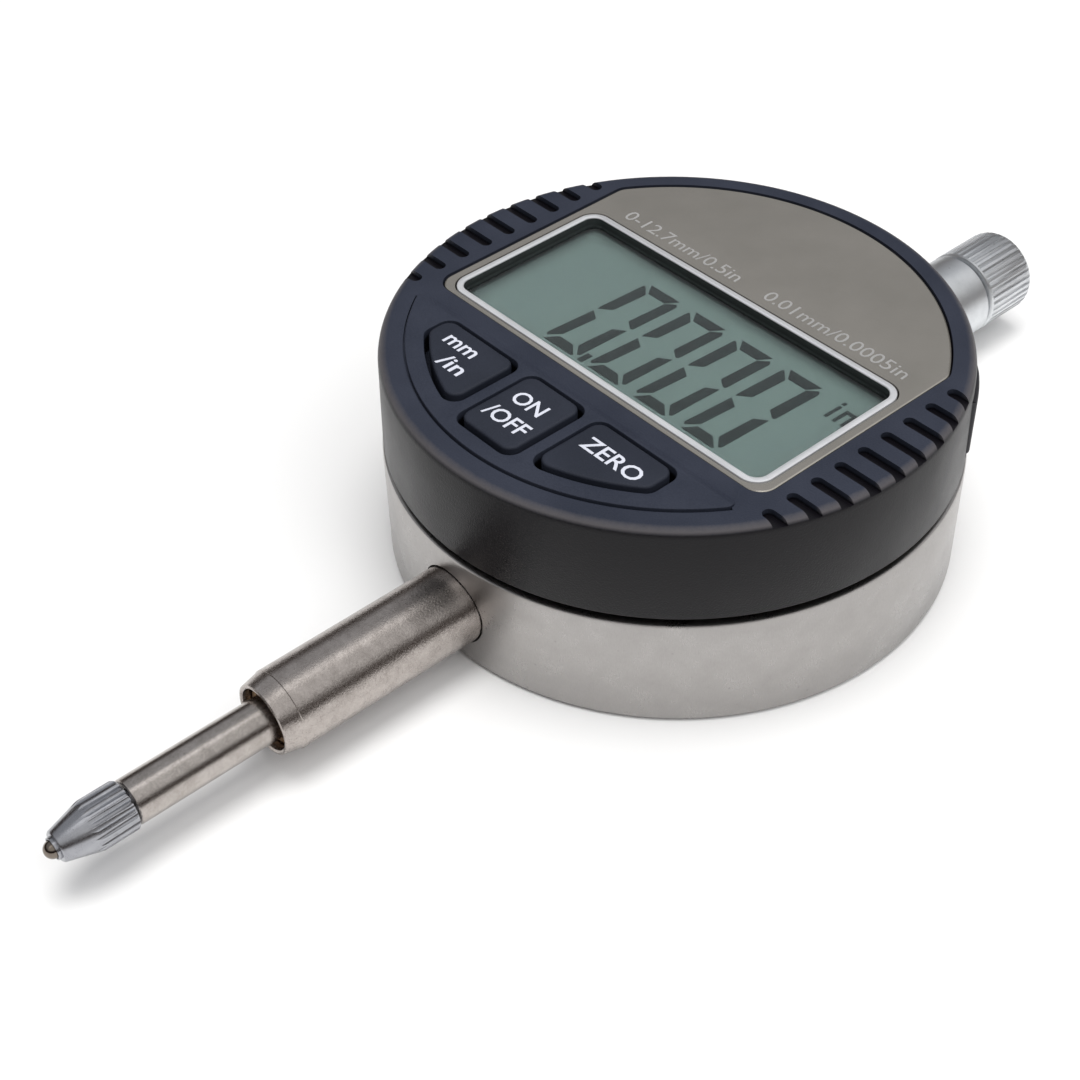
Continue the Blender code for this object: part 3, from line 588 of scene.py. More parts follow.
plateTaupe = plateMaterial()
frameSilver = frameMaterial()
windowAcrylic = glassMaterial()
# A painted shadow along the film's top and left edges.
lcdPaintedShadow = {"top": 8.3, "left": -20.4, "wide": 2.2, "share": 0.95, "colour": (0.004, 0.007, 0.007)}
lcdFilm = lcdMaterial("lcdFilm", (0.077, 0.111, 0.104), (0.068, 0.099, 0.092), 0.45, lcdPaintedShadow)
lcdInk = lcdMaterial("lcdInk", (0.004, 0.009, 0.0085), (0.003, 0.007, 0.0065), 0.45)
boardGreen = boardMaterial()


print("case and cover")
caseHigh = boxMm("steel_case")[1]
case = {
    "radius": caseHigh.x,
    "top": caseHigh.z,
    "topEdge": 0.30,
    "bottomEdge": 0.5,
    "innerRadius": 26.9,
    "webBottom": 11.0,
    "webHole": 13.4,
    "stemHole": 4.15,
    "neckHole": 4.8,
    "stemBoss": 6.2,
    "neckBoss": 6.5,
    "bossInner": 22.2,
    "bossOuter": 27.3,
    "bossFloor": 1.7,
    "boreInner": 20,
    "boreOuter": 30,
}


def makeCase(s):
    radius, top, edge = s["radius"], s["top"], s["topEdge"]
    rings = [
        (s["webHole"], top),
        (radius - edge, top),
        (radius - edge * 0.3, top - edge * 0.3),
        (radius, top - edge),
        (radius, s["bottomEdge"]),
        (radius - 0.15, s["bottomEdge"] * 0.35),
        (radius - s["bottomEdge"], 0),
        (s["innerRadius"], 0),
        (s["innerRadius"], s["webBottom"]),
        (s["webHole"], s["webBottom"]),
    ]
    shell = roundStock("case_shell", rings, 192, loop=True)
    # A boss inside the wall carries the stem, and one across from it the neck.
    bossNear, bossFar = s["bossInner"], s["bossOuter"]
    bossTop = s["webBottom"] + 0.4
    for half, low, high in ((s["stemBoss"], -bossFar, -bossNear), (s["neckBoss"], bossNear, bossFar)):
        carve(shell, block("boss", (-half, low, s["bossFloor"]), (half, high, bossTop)), "UNION")
    near, far = s["boreInner"], s["boreOuter"]
    for bore, low, high in ((s["stemHole"], -far, -near), (s["neckHole"], near, far)):
        carve(shell, alongStem(rod("bore", bore, low, high, steps=64)))
    return shell


finishPiece(makeCase(case), "case", ["steel_case"], caseSteel)

coverHigh = boxMm("back_cover")[1]
cover = {
    "radius": coverHigh.x,
    "thick": coverHigh.z,
    "edge": 0.2,
    "screwCircle": 24.0,
    "hole": 1.1,
    "sink": 2.2,
    "sinkLow": -0.2,
    "sinkHigh": 1.1,
}
coverScrewAngles = [math.radians(a) for a in (55, 125, 235, 305)]


def makeCover(s):
    edge = s["edge"]
    rings = [
        (s["radius"] - edge, 0),
        (s["radius"], edge),
        (s["radius"], s["thick"]),
    ]
    disc = roundStock("cover_disc", rings, 160)
    for angle in coverScrewAngles:
        place = (s["screwCircle"] * math.cos(angle), s["screwCircle"] * math.sin(angle))
        carve(disc, rod("hole", s["hole"], -1, 3, place))
        carve(disc, rod("sink", s["sink"], s["sinkLow"], s["sinkHigh"], place, 48, s["hole"]))
    return disc


finishPiece(makeCover(cover), "case", ["back_cover"], coverSteel)

coverScrew = {
    "head": 1.8,
    "low": 0.1,
    "high": 1.2,
    "shank": 0.65,
    "tip": 6.0,
    "slotWidth": 0.32,
    "slotReach": 1.1,
    "slotDepth": 0.45,
}


def makeCoverScrews(s):
    rings = [
        (s["head"] - 0.1, s["low"]),
        (s["head"], s["low"] + 0.08),
        (s["shank"], s["high"]),
        (s["shank"], s["tip"] - 0.3),
        (s["shank"] - 0.3, s["tip"]),
    ]
    first = roundStock("cover_screw", rings, 48)
    half, reach = s["slotWidth"] / 2, s["slotReach"]
    for x, y in ((reach, half), (half, reach)):
        carve(first, block("recess", (-x, -y, s["low"] - 0.2), (x, y, s["low"] + s["slotDepth"])))
    for i, angle in enumerate(coverScrewAngles):
        shift = (cover["screwCircle"] * math.cos(angle), cover["screwCircle"] * math.sin(angle), 0)
        screw = copied(first, angle * 3, shift)
        screw.name = f"cover_screw_head_{i + 1}"
        finishPiece(screw, "case", [f"cover_screw_{i + 1}"], screwSteel)
    bpy.data.objects.remove(first)


makeCoverScrews(coverScrew)

print("stem, neck and cap")
stemLow, stemHigh = boxMm("stem")
stem = {
    "radius": stemHigh.x,
    "end": stemLow.y,
    "root": stemHigh.y,
    "taper": 1.9,
    "endRadius": 3.5,
    "bore": 3.1,
    "boreDepth": 7.4,
    "bushSeat": 2.7,
}


def makeStem(s):
    end, radius = s["end"], s["radius"]
    rings = [
        (s["bushSeat"], s["root"]),
        (radius, s["root"]),
        (radius, end + s["taper"] + 0.06),
        (radius - 0.06, end + s["taper"]),
        (s["endRadius"] + 0.07, end + 0.08),
        (s["endRadius"] - 0.04, end),
        (s["bore"] + 0.24, end),
        (s["bore"] + 0.05, end + 0.12),
        (s["bore"], end + 0.4),
        (s["bore"], end + s["boreDepth"]),
        (s["bushSeat"], end + s["boreDepth"]),
    ]
    return alongStem(roundStock("stem_tube", rings, 128, loop=True))


finishPiece(makeStem(stem), "case", ["stem"], stemSteel, 7)

neckLow, neckHigh = boxMm("rear_neck")
neck = {
    "radius": neckHigh.x,
    "end": neckHigh.y,
    "root": neckLow.y,
    "edge": 0.15,
    "bore": 3.8,
    "boreFrom": 38.5,
    "bushSeat": 2.7,
    "rootBore": 3.1,
    "rootBoreTo": 29.0,
}


def makeNeck(s):
    end, radius, bore = s["end"], s["radius"], s["bore"]
    rings = [
        (bore, end),
        (radius - s["edge"], end),
        (radius, end - s["edge"]),
        (radius, s["root"]),
        (s["rootBore"], s["root"]),
        (s["rootBore"], s["rootBoreTo"]),
        (s["bushSeat"], s["rootBoreTo"]),
        (s["bushSeat"], s["boreFrom"]),
        (bore, s["boreFrom"]),
    ]
    return alongStem(roundStock("neck_tube", rings, 96, loop=True))


finishPiece(makeNeck(neck), "case", ["rear_neck"], capSteel)

capHigh = boxMm("dust_cap")[1]
cap = {
    "radius": capHigh.x,
    "end": capHigh.y,
    "front": 45.0,
    "plugRadius": 3.5,
    "plugFrom": 39.0,
    "bore": 2.6,
    "boreTo": 50.3,
    "flutes": 38,
    "fluteRadius": 0.26,
    "fluteDepth": 0.20,
}


def makeCap(s):
    end, radius, front = s["end"], s["radius"], s["front"]
    rings = [
        (s["plugRadius"], s["plugFrom"]),
        (s["plugRadius"], front),
        (radius - 0.25, front),
        (radius, front + 0.2),
        (radius, end - 0.9),
        (radius - 0.08, end - 0.55),
        (radius - 0.28, end - 0.22),
        (radius - 0.60, end - 0.05),
        (radius - 1.0, end),
    ]
    body = roundStock("cap_knurled", rings, 152)
    carve(body, rod("capBore", s["bore"], s["plugFrom"] - 1, s["boreTo"]))
    outFrom = radius - s["fluteDepth"] + s["fluteRadius"]
    flute = rod("flute", s["fluteRadius"], front + 0.45, end + 1, (outFrom, 0), 8)
    carve(body, ringOf(flute, s["flutes"]))
    return alongStem(body)


finishPiece(makeCap(cap), "case", ["dust_cap"], capSteel, 40)

print("spindle and contact point")
spindleLow, spindleHigh = boxMm("spindle")
spindle = {
    "radius": spindleHigh.x,
    "front": spindleLow.y,
    "rear": spindleHigh.y,
    "socket": 1.5,
    "socketTo": -58.5,
    "frontEdge": 0.1,
    "rearEdge": 0.3,
}


def makeSpindle(s):
    front, rear, radius = s["front"], s["rear"], s["radius"]
    rings = [
        (s["socket"], s["socketTo"]),
        (s["socket"], front),
        (radius - s["frontEdge"], front),
        (radius, front + s["frontEdge"]),
        (radius, rear - s["rearEdge"]),
        (radius - s["rearEdge"], rear),
    ]
    return alongStem(roundStock("spindle_rod", rings, 96))


finishPiece(makeSpindle(spindle), "spindle", ["spindle"], spindleSteel)

tip = {
    "radius": boxMm("contact_point")[1].x,
    "shank": 1.2,
    "shankTo": -59.2,
    "back": -64.5,
    "shoulder": -68.05,
    "front": -71.4,
    "nose": 1.45,
    "collar": 1.08,
    "ballSeat": 0.95,
    "ballSeatTo": -70.6,
    "flutes": 19,
    "fluteRadius": 0.34,
    "fluteDepth": 0.22,
}


def makeTip(s):
    radius, back = s["radius"], s["back"]
    rings = [
        (s["shank"], s["shankTo"]),
        (s["shank"], back),
        (radius - 0.35, back),
        (radius - 0.12, back - 0.06),
        (radius, back - 0.25),
        (radius, s["shoulder"] + 0.15),
        (radius - 0.05, s["shoulder"] - 0.12),
        (s["nose"] + 0.06, s["front"] + 0.12),
        (s["nose"] - 0.06, s["front"]),
        (s["collar"], s["front"]),
        (s["collar"], s["front"] - 0.3),
        (s["ballSeat"], s["front"] - 0.3),
        (s["ballSeat"], s["ballSeatTo"]),
    ]
    body = roundStock("point_fluted", rings, 114)
    outFrom = radius - s["fluteDepth"] + s["fluteRadius"]
    flute = rod("flute", s["fluteRadius"], s["ballSeatTo"], back + 0.6, (outFrom, 0), 10)
    carve(body, ringOf(flute, s["flutes"]))
    return alongStem(body)


finishPiece(makeTip(tip), "spindle", ["contact_point"], tipSteel, 40)

ballLow, ballHigh = boxMm("contact_ball")


def makeBall():
    letGo()
    bpy.ops.mesh.primitive_uv_sphere_add(segments=48, ring_count=24, radius=(ballHigh.x - ballLow.x) / 2)
    ball = bpy.context.object
    ball.name = "point_ball"
    editing(ball, "VERT")
    # The ball is lapped flat where it is brazed into its seat.
    flatAt = 0.78
    takeAll()
    bpy.ops.mesh.bisect(plane_co=(0, 0, flatAt), plane_no=(0, 0, 1), use_fill=True, clear_outer=True)
    objectMode()
    ball.rotation_euler = (-math.pi / 2, 0, 0)
    ball.location = (ballLow + ballHigh) / 2
    return settle(ball)


finishPiece(makeBall(), "spindle", ["contact_ball"], ballCarbide)

print("head housing")
drawerAngle = math.radians(50)
housingLow, housingHigh = boxMm("front_housing")
plateLow, plateHigh = boxMm("display_plate")
frameLow, frameHigh = boxMm("display_frame")
housing = {
    "radius": housingHigh.x,
    "bottom": housingLow.z,
    "face": 23.2,
    # The rim's round, as radius and drop below the face.
    "rim": [
        (27.35, 0),
        (27.62, 0.03),
        (27.86, 0.12),
        (28.05, 0.27),
        (28.20, 0.47),
        (28.30, 0.72),
        (28.36, 1.0),
    ],
    "padTop": housingHigh.z,
    "padRadius": 25.7,
    "padCorner": 0.9,
    "padEdge": -13.2,
    "innerRadius": 26.4,
    "ceiling": 21.2,
    "ledge": 22.0,
    "wellEdge": 0.16,
    "ramp": 0.95,
    "groove": 0.2,
    "plateGap": 0.15,
    "windowGap": 0.3,
    "windowCorner": 0.6,
    "openingLow": (24.0, -9.4, 14.2),
    "openingHigh": (30.0, 9.4, 20.9),
    "cutLow": 18,
    "cutHigh": 26,
}
keyPlan = {
    "spans": {"unit_key": (-16.2, -5.5), "power_key": (-4.3, 3.7), "zero_key": (4.9, 15.6)},
    "highEdge": -14.25,
    "arcRadius": 23.9,
    "middleLow": -24.1,
    "gap": 0.5,
    "corner": 1.4,
}
plateStyle = {"corner": 1.8, "edge": 0.18, "openingMargin": 0.85, "openingCorner": 2.1}
grip = {"pitch": 3.03, "each": 9, "shift": -0.25, "width": 1.25, "start": 23.4, "end": 30.0, "floor": 22.55}


def keyShape(name, span, low, high, margin, corner):
    left, right = span[0] + margin + corner, span[1] - margin - corner
    top = keyPlan["highEdge"] - margin - corner
    if left < 0 < right:
        bottom = keyPlan["middleLow"] + margin + corner
        points = [(left, bottom), (right, bottom), (right, top), (left, top)]
    else:
        radius = keyPlan["arcRadius"] - margin - corner
        start, end = -math.acos(left / radius), -math.acos(right / radius)
        # The outer corner is where the arc meets the straight edge above or the key's outer side.
        points = [(left, top)] + arcPoints(radius, start, end, 24) + [(right, top)]
    return flatShapes(name, [swell(points, corner)], low, high)


def plateShape(name, margin, low, high, corner):
    side, bottom = plateHigh.x + margin - corner, plateLow.y - margin + corner
    radius = plateHigh.y + margin - corner
    start = math.acos(side / radius)
    points = [(-side, bottom), (side, bottom)] + arcPoints(radius, start, math.pi - start, 96)
    return flatShapes(name, [swell(points, corner)], low, high)


def gripCutters(s):
    # Each cutter is a bar with a round inner end, long enough to run out over the rim.
    high = housing["face"] + 1
    half = s["width"] / 2
    cutters = []
    for i in range(s["each"]):
        y = (i - (s["each"] - 1) / 2) * s["pitch"] + s["shift"]
        for side in (-1, 1):
            points = [(s["start"] + half, 0), (s["end"], 0)]
            notch = flatShapes("notch", [swell(points, half)], s["floor"], high)
            if side < 0:
                notch.scale = (-1, 1, 1)
            notch.location = (0, y, 0)
            cutters.append(facing(settle(notch)))
    return joined(cutters)


def frameSpan(margin):
    return frameLow.x - margin, frameHigh.x + margin, frameLow.y - margin, frameHigh.y + margin


def makeHousing(s):
    radius, face = s["radius"], s["face"]
    rings = [(ring, face - drop) for ring, drop in s["rim"]] + [
        (radius - 0.02, s["bottom"] + 0.25),
        (radius - 0.06, s["bottom"] + 0.06),
        (radius - 0.15, s["bottom"]),
        (s["innerRadius"], s["bottom"]),
        (s["innerRadius"], s["ceiling"]),
    ]
    shell = roundStock("head_shell", rings, 192)
    padCorner = s["padCorner"]
    padRadius = s["padRadius"] - padCorner
    start = math.asin((s["padEdge"] - padCorner) / padRadius)
    padPoints = arcPoints(padRadius, -math.pi - start, start, 96)
    pad = flatShapes("pad", [swell(padPoints, padCorner)], s["ceiling"] + 0.5, s["padTop"])
    for span in keyPlan["spans"].values():
        carve(pad, keyShape("well", span, s["cutLow"], s["cutHigh"], 0, keyPlan["corner"]))
        carve(shell, keyShape("well", span, s["cutLow"], s["cutHigh"], -0.04, keyPlan["corner"] + 0.04))
    breakEdge(pad, s["wellEdge"], s["padTop"], 3)
    # The pad runs out into the face in a low ramp below the display.
    editing(pad)
    takeAll()
    foot = (0, s["padEdge"], face - 0.02)
    slope = (0, s["padTop"] - face + 0.02, s["ramp"])
    bpy.ops.mesh.bisect(plane_co=foot, plane_no=slope, use_fill=True, clear_outer=True)
    objectMode()
    # A fine groove follows the foot of the pad's round side.
    outer = arcPoints(s["padRadius"] + s["groove"], -math.pi - start - 0.02, start + 0.02, 96)
    inner = arcPoints(s["padRadius"] - 0.4, start + 0.02, -math.pi - start - 0.02, 96)
    carve(shell, flatShapes("groove", [outer + inner], face - 0.3, face + 1))
    carve(shell, pad, "UNION")
    recessCorner = plateStyle["corner"] + s["plateGap"]
    carve(shell, plateShape("recess", s["plateGap"], s["ledge"], face + 1, recessCorner))
    carve(shell, roundedPlate("window", *frameSpan(s["windowGap"]), s["cutLow"], face, s["windowCorner"]))
    carve(shell, gripCutters(grip))
    opening = block("opening", s["openingLow"], s["openingHigh"])
    opening.rotation_euler = (0, 0, drawerAngle)
    carve(shell, settle(opening))
    return shell


headShell = makeHousing(housing)
finishPiece(headShell, "head", ["front_housing"], housingPlastic, 30)

print("display")
windowEdge = {"xLow": -20.3, "xHigh": 20.3, "yLow": -10.0, "yHigh": 8.2, "cut": (20, 25)}


def windowShape(name, margin, low, high, corner):
    w = windowEdge
    span = (w["xLow"] - margin, w["xHigh"] + margin, w["yLow"] - margin, w["yHigh"] + margin)
    return roundedPlate(name, *span, low, high, corner)


def makePlate(s):
    sheet = plateShape("display_sheet", 0, plateLow.z, plateHigh.z, s["corner"])
    breakEdge(sheet, s["edge"], plateHigh.z, 2)
    opening = windowShape("opening", s["openingMargin"], *windowEdge["cut"], s["openingCorner"])
    return carve(sheet, opening)


finishPiece(makePlate(plateStyle), "head", ["display_plate"], plateTaupe, 20)


def shadeSides(obj, inwardOnly):
    # The walls that stand round the display take the dark wellShade material as painted shade; on the pane's
    # sides it is partly a real black-painted edge.
    obj.data.materials.append(wellShade)
    centre = Vector((0, (windowEdge["yLow"] + windowEdge["yHigh"]) / 2, 0)) * mm
    for face in obj.data.polygons:
        inward = (centre - face.center).xy.dot(face.normal.xy) > 0
        if abs(face.normal.z) < 0.3 and (inward or not inwardOnly):
            face.material_index = 1


bezelStyle = {"width": 0.7, "corner": 2.0, "innerCorner": 1.3, "edge": 0.12}


def makeFrame(s):
    bezel = windowShape("display_bezel", s["width"], frameLow.z, frameHigh.z, s["corner"])
    carve(bezel, windowShape("opening", 0, *windowEdge["cut"], s["innerCorner"]))
    breakEdge(bezel, s["edge"], frameHigh.z, 2)
    finishPiece(bezel, "head", ["display_frame"], frameSilver, 40)
    shadeSides(bezel, True)


makeFrame(bezelStyle)

paneStyle = {"gap": 0.15, "corner": 1.2}


def makeWindow(s):
    low, high = boxMm("display_window")
    pane = windowShape("display_pane", -s["gap"], low.z, high.z, s["corner"])
    finishPiece(pane, "head", ["display_window"], windowAcrylic)
    shadeSides(pane, False)


makeWindow(paneStyle)


def makeLcd():
    low, high = boxMm("lcd_panel")
    edge = 0.1
    return breakEdge(block("lcd_cell", low, high), edge, high.z, 1)


finishPiece(makeLcd(), "head", ["lcd_panel"], lcdFilm)

digits = {
    "first": -9.58,
    "pitch": 6.28,
    "count": 4,
    "bottom": -8.26,
    "point": 4.73,
    "unit": (16.80, 2.49),
    "thick": 0.03,
}


def digitOutlines():
    # The six lit segments of a zero, from its lower left corner, leaning as the display's figures do.
    return [
        [(0.85, 13.58), (4.79, 13.58), (3.92, 12.34), (1.65, 12.34)],
        [(0.33, 12.88), (0.51, 13.07), (1.60, 12.04), (1.30, 7.95), (0.06, 7.04), (0.00, 7.28)],
        [(4.00, 12.28), (4.95, 13.07), (5.24, 12.73), (4.95, 7.18), (4.65, 7.04), (3.70, 7.73)],
        [(0.00, 6.52), (1.20, 5.75), (0.85, 1.70), (-0.17, 0.58), (-0.44, 0.78)],
        [(4.72, 6.52), (3.54, 5.75), (3.24, 1.58), (4.22, 0.48), (4.49, 0.68)],
        [(0.92, 1.25), (2.85, 1.25), (4.00, 0.18), (3.80, 0.00), (0.00, 0.00)],
    ]


def unitOutlines():
    # The unit sign beside the figures: a dotted stroke and an arch, which the bezel hides in part.
    return [
        [(0.00, 0.00), (0.37, 0.00), (0.45, 2.09), (0.06, 2.09)],
        [(0.04, 2.38), (0.42, 2.38), (0.45, 2.83), (0.07, 2.83)],
        [(0.97, 0.00), (1.37, 0.00), (1.44, 1.65), (2.00, 1.65)]
        + [(1.95, 0.00), (2.35, 0.00), (2.45, 2.09), (1.04, 2.09)],
    ]


def makeFigures(s):
    outlines = []
    for i in range(s["count"]):
        left = s["first"] + i * s["pitch"]
        outlines += [[(left + x, s["bottom"] + y) for x, y in outline] for outline in digitOutlines()]
    pointLeft = s["first"] + s["point"]
    point = [(0, 0), (0.68, 0), (0.72, 1.4), (0.06, 1.4)]
    outlines.append([(pointLeft + x, s["bottom"] + y) for x, y in point])
    outlines += [[(s["unit"][0] + x, s["unit"][1] + y) for x, y in outline] for outline in unitOutlines()]
    low = boxMm("lcd_panel")[1].z + 0.01
    return flatShapes("lcd_figures", outlines, low, low + s["thick"])


finishPiece(makeFigures(digits), "head", [], lcdInk)


def lettering(name, words, left, right, low, capHeight, level, thick, weight=0.0):
    # Words set to a cap height, then drawn out to the width between left and right. The plain typeface's
    # capitals stand 0.729 of its size.
    letGo()
    bpy.ops.object.text_add(location=(0, 0, 0))
    obj = bpy.context.object
    obj.name = name
    obj.data.body = words
    obj.data.size = 1.0
    obj.data.extrude = 0.5
    obj.data.resolution_u = 3
    obj.data.offset = weight
    bpy.ops.object.convert(target="MESH")
    obj = bpy.context.object
    xs = [v.co.x for v in obj.data.vertices]
    capSize = 0.729
    wide = (right - left) / (max(xs) - min(xs))
    tall = capHeight / capSize
    obj.scale = (wide, tall, thick)
    obj.location = (left - min(xs) * wide, low, level + thick / 2)
    return facing(settle(obj))


print("keys")
keyStyle = {
    "corner": 1.2,
    "edge": 0.30,
    "flangeLow": 20.3,
    "flangeHigh": 20.9,
    "flangeReach": 0.4,
    "flangeCorner": 1.8,
    "legendHeight": 1.85,
    "ink": 0.02,
    "weight": 0.012,
}
keyTop = boxMm("unit_key")[1].z - keyStyle["ink"]
keyWords = {
    "unit_key": [("mm", -13.6, -9.5, -17.5), ("/in", -11.5, -8.3, -20.1)],
    "power_key": [("ON", -2.5, 1.3, -18.7), ("/OFF", -2.9, 2.3, -21.7)],
    "zero_key": [("ZERO", 6.7, 13.7, -18.5)],
}


def makeKey(name, span, s):
    key = keyShape(name + "_cap", span, s["flangeLow"], keyTop, keyPlan["gap"], s["corner"])
    breakEdge(key, s["edge"], keyTop, 4)
    flange = keyShape("flange", span, s["flangeLow"], s["flangeHigh"], -s["flangeReach"], s["flangeCorner"])
    return carve(key, flange, "UNION")


for name, span in keyPlan["spans"].items():
    finishPiece(makeKey(name, span, keyStyle), name, [name], keyPlastic, 30)
    lines = []
    for i, (words, left, right, low) in enumerate(keyWords[name]):
        size = (keyStyle["legendHeight"], keyTop, keyStyle["ink"], keyStyle["weight"])
        lines.append(lettering(f"{name}_words_{i + 1}", words, left, right, low, *size))
    legend = joined(lines) if len(lines) > 1 else lines[0]
    legend.name = f"{name}_legend"
    finishPiece(legend, name, [], legendPaint)

plateLegend = {"low": 10.1, "height": 1.7, "ink": 0.015}
plateWords = [("range_legend", "0-12.7mm/0.5in", -18.0, -2.0), ("step_legend", "0.01mm/0.0005in", 1.6, 19.4)]
for name, words, left, right in plateWords:
    size = (plateLegend["low"], plateLegend["height"], plateHigh.z, plateLegend["ink"])
    finishPiece(lettering(name, words, left, right, *size), "head", [], plateEtch)

print("battery drawer")
drawer = {
    "half": 9.0,
    "low": 14.5,
    "high": 20.6,
    "outer": 28.8,
    "inner": 27.0,
    "edge": 0.25,
    "distance": 19.4,
    "cup": 6.6,
    "cupInside": 6.1,
    "cupFloor": 14.3,
    "cupTop": 16.8,
    "trayTo": 27.6,
    "nailRadius": 3.2,
    "nailOut": 2.75,
    "nailDown": 0.9,
}


def makeDrawer(s):
    rings = [(s["inner"], s["high"]), (s["outer"], s["high"]), (s["outer"], s["low"]), (s["inner"], s["low"])]
    door = roundStock("drawer_door", rings, 256, loop=True)
    span = block("span", (20, -s["half"], s["low"] - 0.5), (30, s["half"], s["high"] + 0.9))
    carve(door, span, "INTERSECT")
    editing(door)

    def outerEdge(edge):
        if edge.calc_face_angle(0) < 0.6:
            return False
        return all(v.co.xy.length > s["outer"] - 0.02 for v in edge.verts)

    pick(door, "edges", outerEdge)
    bpy.ops.mesh.bevel(offset=s["edge"], segments=3, affect="EDGES")
    # The bevel leaves slits where it runs along the door's flat ends.
    takeAll()
    bpy.ops.mesh.fill_holes(sides=4)
    bpy.ops.mesh.dissolve_degenerate(threshold=0.001)
    objectMode()
    floor, top, middle = s["cupFloor"], s["cupTop"], (s["distance"], 0)
    tray = block("tray", (s["distance"], -s["cup"], floor), (s["trayTo"], s["cup"], top))
    carve(door, carve(tray, rod("cup", s["cup"], floor, top, middle, 64), "UNION"), "UNION")
    carve(door, rod("cupInside", s["cupInside"], floor + 0.3, top + 1.2, middle, 60))
    notch = rod("nailNotch", s["nailRadius"], -6, 6, steps=48)
    notch.rotation_euler = (math.pi / 2, 0, 0)
    notch.location = (s["outer"] + s["nailOut"], 0, s["high"] - s["nailDown"])
    carve(door, settle(notch))
    door.rotation_euler = (0, 0, drawerAngle)
    return settle(door)


finishPiece(makeDrawer(drawer), "battery_drawer", ["battery_drawer"], innerPlastic, 30)


# The can's bottom as distance in from its side and rise, its top as radius and drop.
buttonCell = {
    "radius": 5.8,
    "bottom": [(0.5, 0), (0.15, 0.05), (0, 0.3)],
    "top": [(5.8, 0.9), (5.68, 0.6), (5.4, 0.5), (4.75, 0.5)]
    + [(4.7, 0.62), (4.45, 0.62), (4.35, 0.1), (4.2, 0)],
}


def makeCell(s):
    low, high = boxMm("button_cell")
    rings = [(s["radius"] - inset, low.z + rise) for inset, rise in s["bottom"]]
    rings += [(ring, high.z - drop) for ring, drop in s["top"]]
    cell = roundStock("cell_can", rings, 96)
    away = drawer["distance"]
    cell.location = (away * math.cos(drawerAngle), away * math.sin(drawerAngle), 0)
    return settle(cell)


finishPiece(makeCell(buttonCell), "battery_drawer", ["button_cell"], cellSteel)

print("carried-over nodes")
slotMaterials = {
    "housing_black": innerPlastic,
    "case_steel": coverSteel,
    "cap_steel": capSteel,
    "bronze": bushBronze,
    "board_green": boardGreen,
    "part_black": partPlastic,
    "rubber": rubberSkin,
    "screw_steel": screwSteel,
    "spring_steel": springSteel,
    "ribbon_amber": ribbonAmber,
}
slotOf = {row["node"]: row["material_slot"] for row in frame["record"]["subparts"]}
for name, obj in frame["nodes"].items():
    if obj.hide_render:
        continue
    for place in obj.material_slots:
        place.material = slotMaterials[slotOf[name]]

print("camera and lights")
view = {
    "place": (0.103405, -0.104986, 0.130884),
    "azimuth": 49.80,
    "elevation": 42.39,
    "roll": 1.717,
    "lens": 63.46,
}


def makeCamera(s):
    azimuth, elevation, roll = (math.radians(s[key]) for key in ("azimuth", "elevation", "roll"))
    level = math.cos(elevation)
    look = Vector((-math.sin(azimuth) * level, math.cos(azimuth) * level, -math.sin(elevation)))
    right = look.cross(Vector((0, 0, 1))).normalized()
    down = look.cross(right)
    across = right * math.cos(roll) + down * math.sin(roll)
    below = -right * math.sin(roll) + down * math.cos(roll)
    turn = Matrix((across, -below, -look)).transposed().to_4x4()
    data = bpy.data.cameras.new("camera")
    data.lens = s["lens"]
    data.sensor_width = 36
    data.clip_start = 0.01
    data.clip_end = 20
    camera = bpy.data.objects.new("camera", data)
    bpy.context.scene.collection.objects.link(camera)
    camera.matrix_world = Matrix.Translation(s["place"]) @ turn
    bpy.context.scene.camera = camera


makeCamera(view)


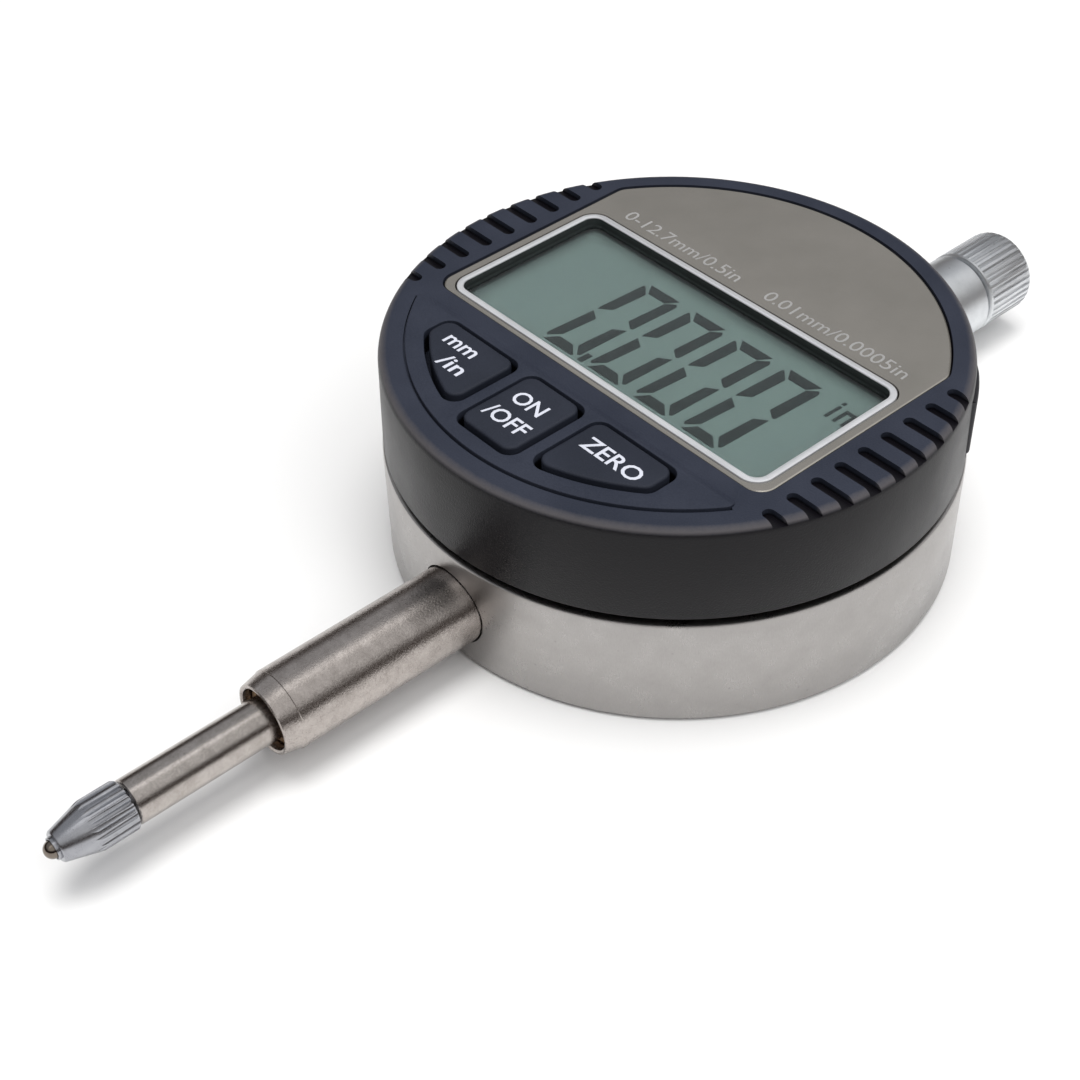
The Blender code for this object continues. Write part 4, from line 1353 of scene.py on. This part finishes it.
def areaLight(name, place, target, size, power, colour=(1, 1, 1)):
    data = bpy.data.lights.new(name, "AREA")
    data.shape = "RECTANGLE"
    data.size, data.size_y = size
    data.energy = power
    data.color = colour
    lamp = bpy.data.objects.new(name, data)
    bpy.context.scene.collection.objects.link(lamp)
    lamp.location = place
    lamp.visible_glossy = False
    lamp.rotation_euler = (Vector(target) - Vector(place)).to_track_quat("-Z", "Y").to_euler()


areaLight("softboxTop", (0.0, 0.0, 1.20), (0, 0, 0), (0.60, 0.70), 8.5, (1.0, 0.99, 0.97))
areaLight("softboxRight", (0.60, 0.10, 0.75), (0, 0, 0), (0.50, 0.70), 2.5)
bpy.context.scene.view_settings.view_transform = "Standard"


studio = {
    "left": (0.46, 0.47, 0.49),
    "right": (0.80, 0.80, 0.80),
    "horizon": (0.050, 0.036, 0.030),
    "lamp": 1.7,
}


def makeWorld(s):
    # A bright ceiling with one long lamp, grey to the left, over a dim brown band round the horizon.
    world = bpy.data.worlds.new("studio")
    bpy.context.scene.world = world
    world.use_nodes = True
    tree = world.node_tree
    direction = node(tree, "TexCoord").outputs["Generated"]
    x, y, z = node(tree, "SeparateXYZ", {0: direction}).outputs[:3]
    ceiling = blendColour(tree, ramp(tree, x, -0.10, 0.12), (*s["left"], 1), (*s["right"], 1))
    colour = blendColour(tree, ramp(tree, z, 0.36, 0.56), (*s["horizon"], 1), ceiling)
    beside = ramp(tree, calc(tree, "ABSOLUTE", x), 0.04, 0.16, 1.0, 0.0)
    lamp = calc(tree, "MULTIPLY", beside, ramp(tree, z, 0.70, 0.86))
    colour = blendColour(tree, lamp, colour, grey(s["lamp"]))
    background = tree.nodes["Background"]
    tree.links.new(colour, background.inputs["Color"])
    background.inputs["Strength"].default_value = 1.0


makeWorld(studio)


def makeFloor():
    letGo()
    bpy.ops.mesh.primitive_plane_add(size=6, location=(0, 0, -0.00005))
    floor = bpy.context.object
    floor.name = "floor"
    material, tree, shader = newMaterial("paleFloor", 0.7)
    mottle = noise(tree, pieceSpace(tree), 0.01, 2.0)
    colour = blendColour(tree, mottle, (0.86, 0.86, 0.86, 1), (0.90, 0.90, 0.90, 1))
    tree.links.new(colour, shader.inputs["Base Color"])
    shader.inputs["Specular IOR Level"].default_value = 0.2
    floor.data.materials.append(material)


makeFloor()
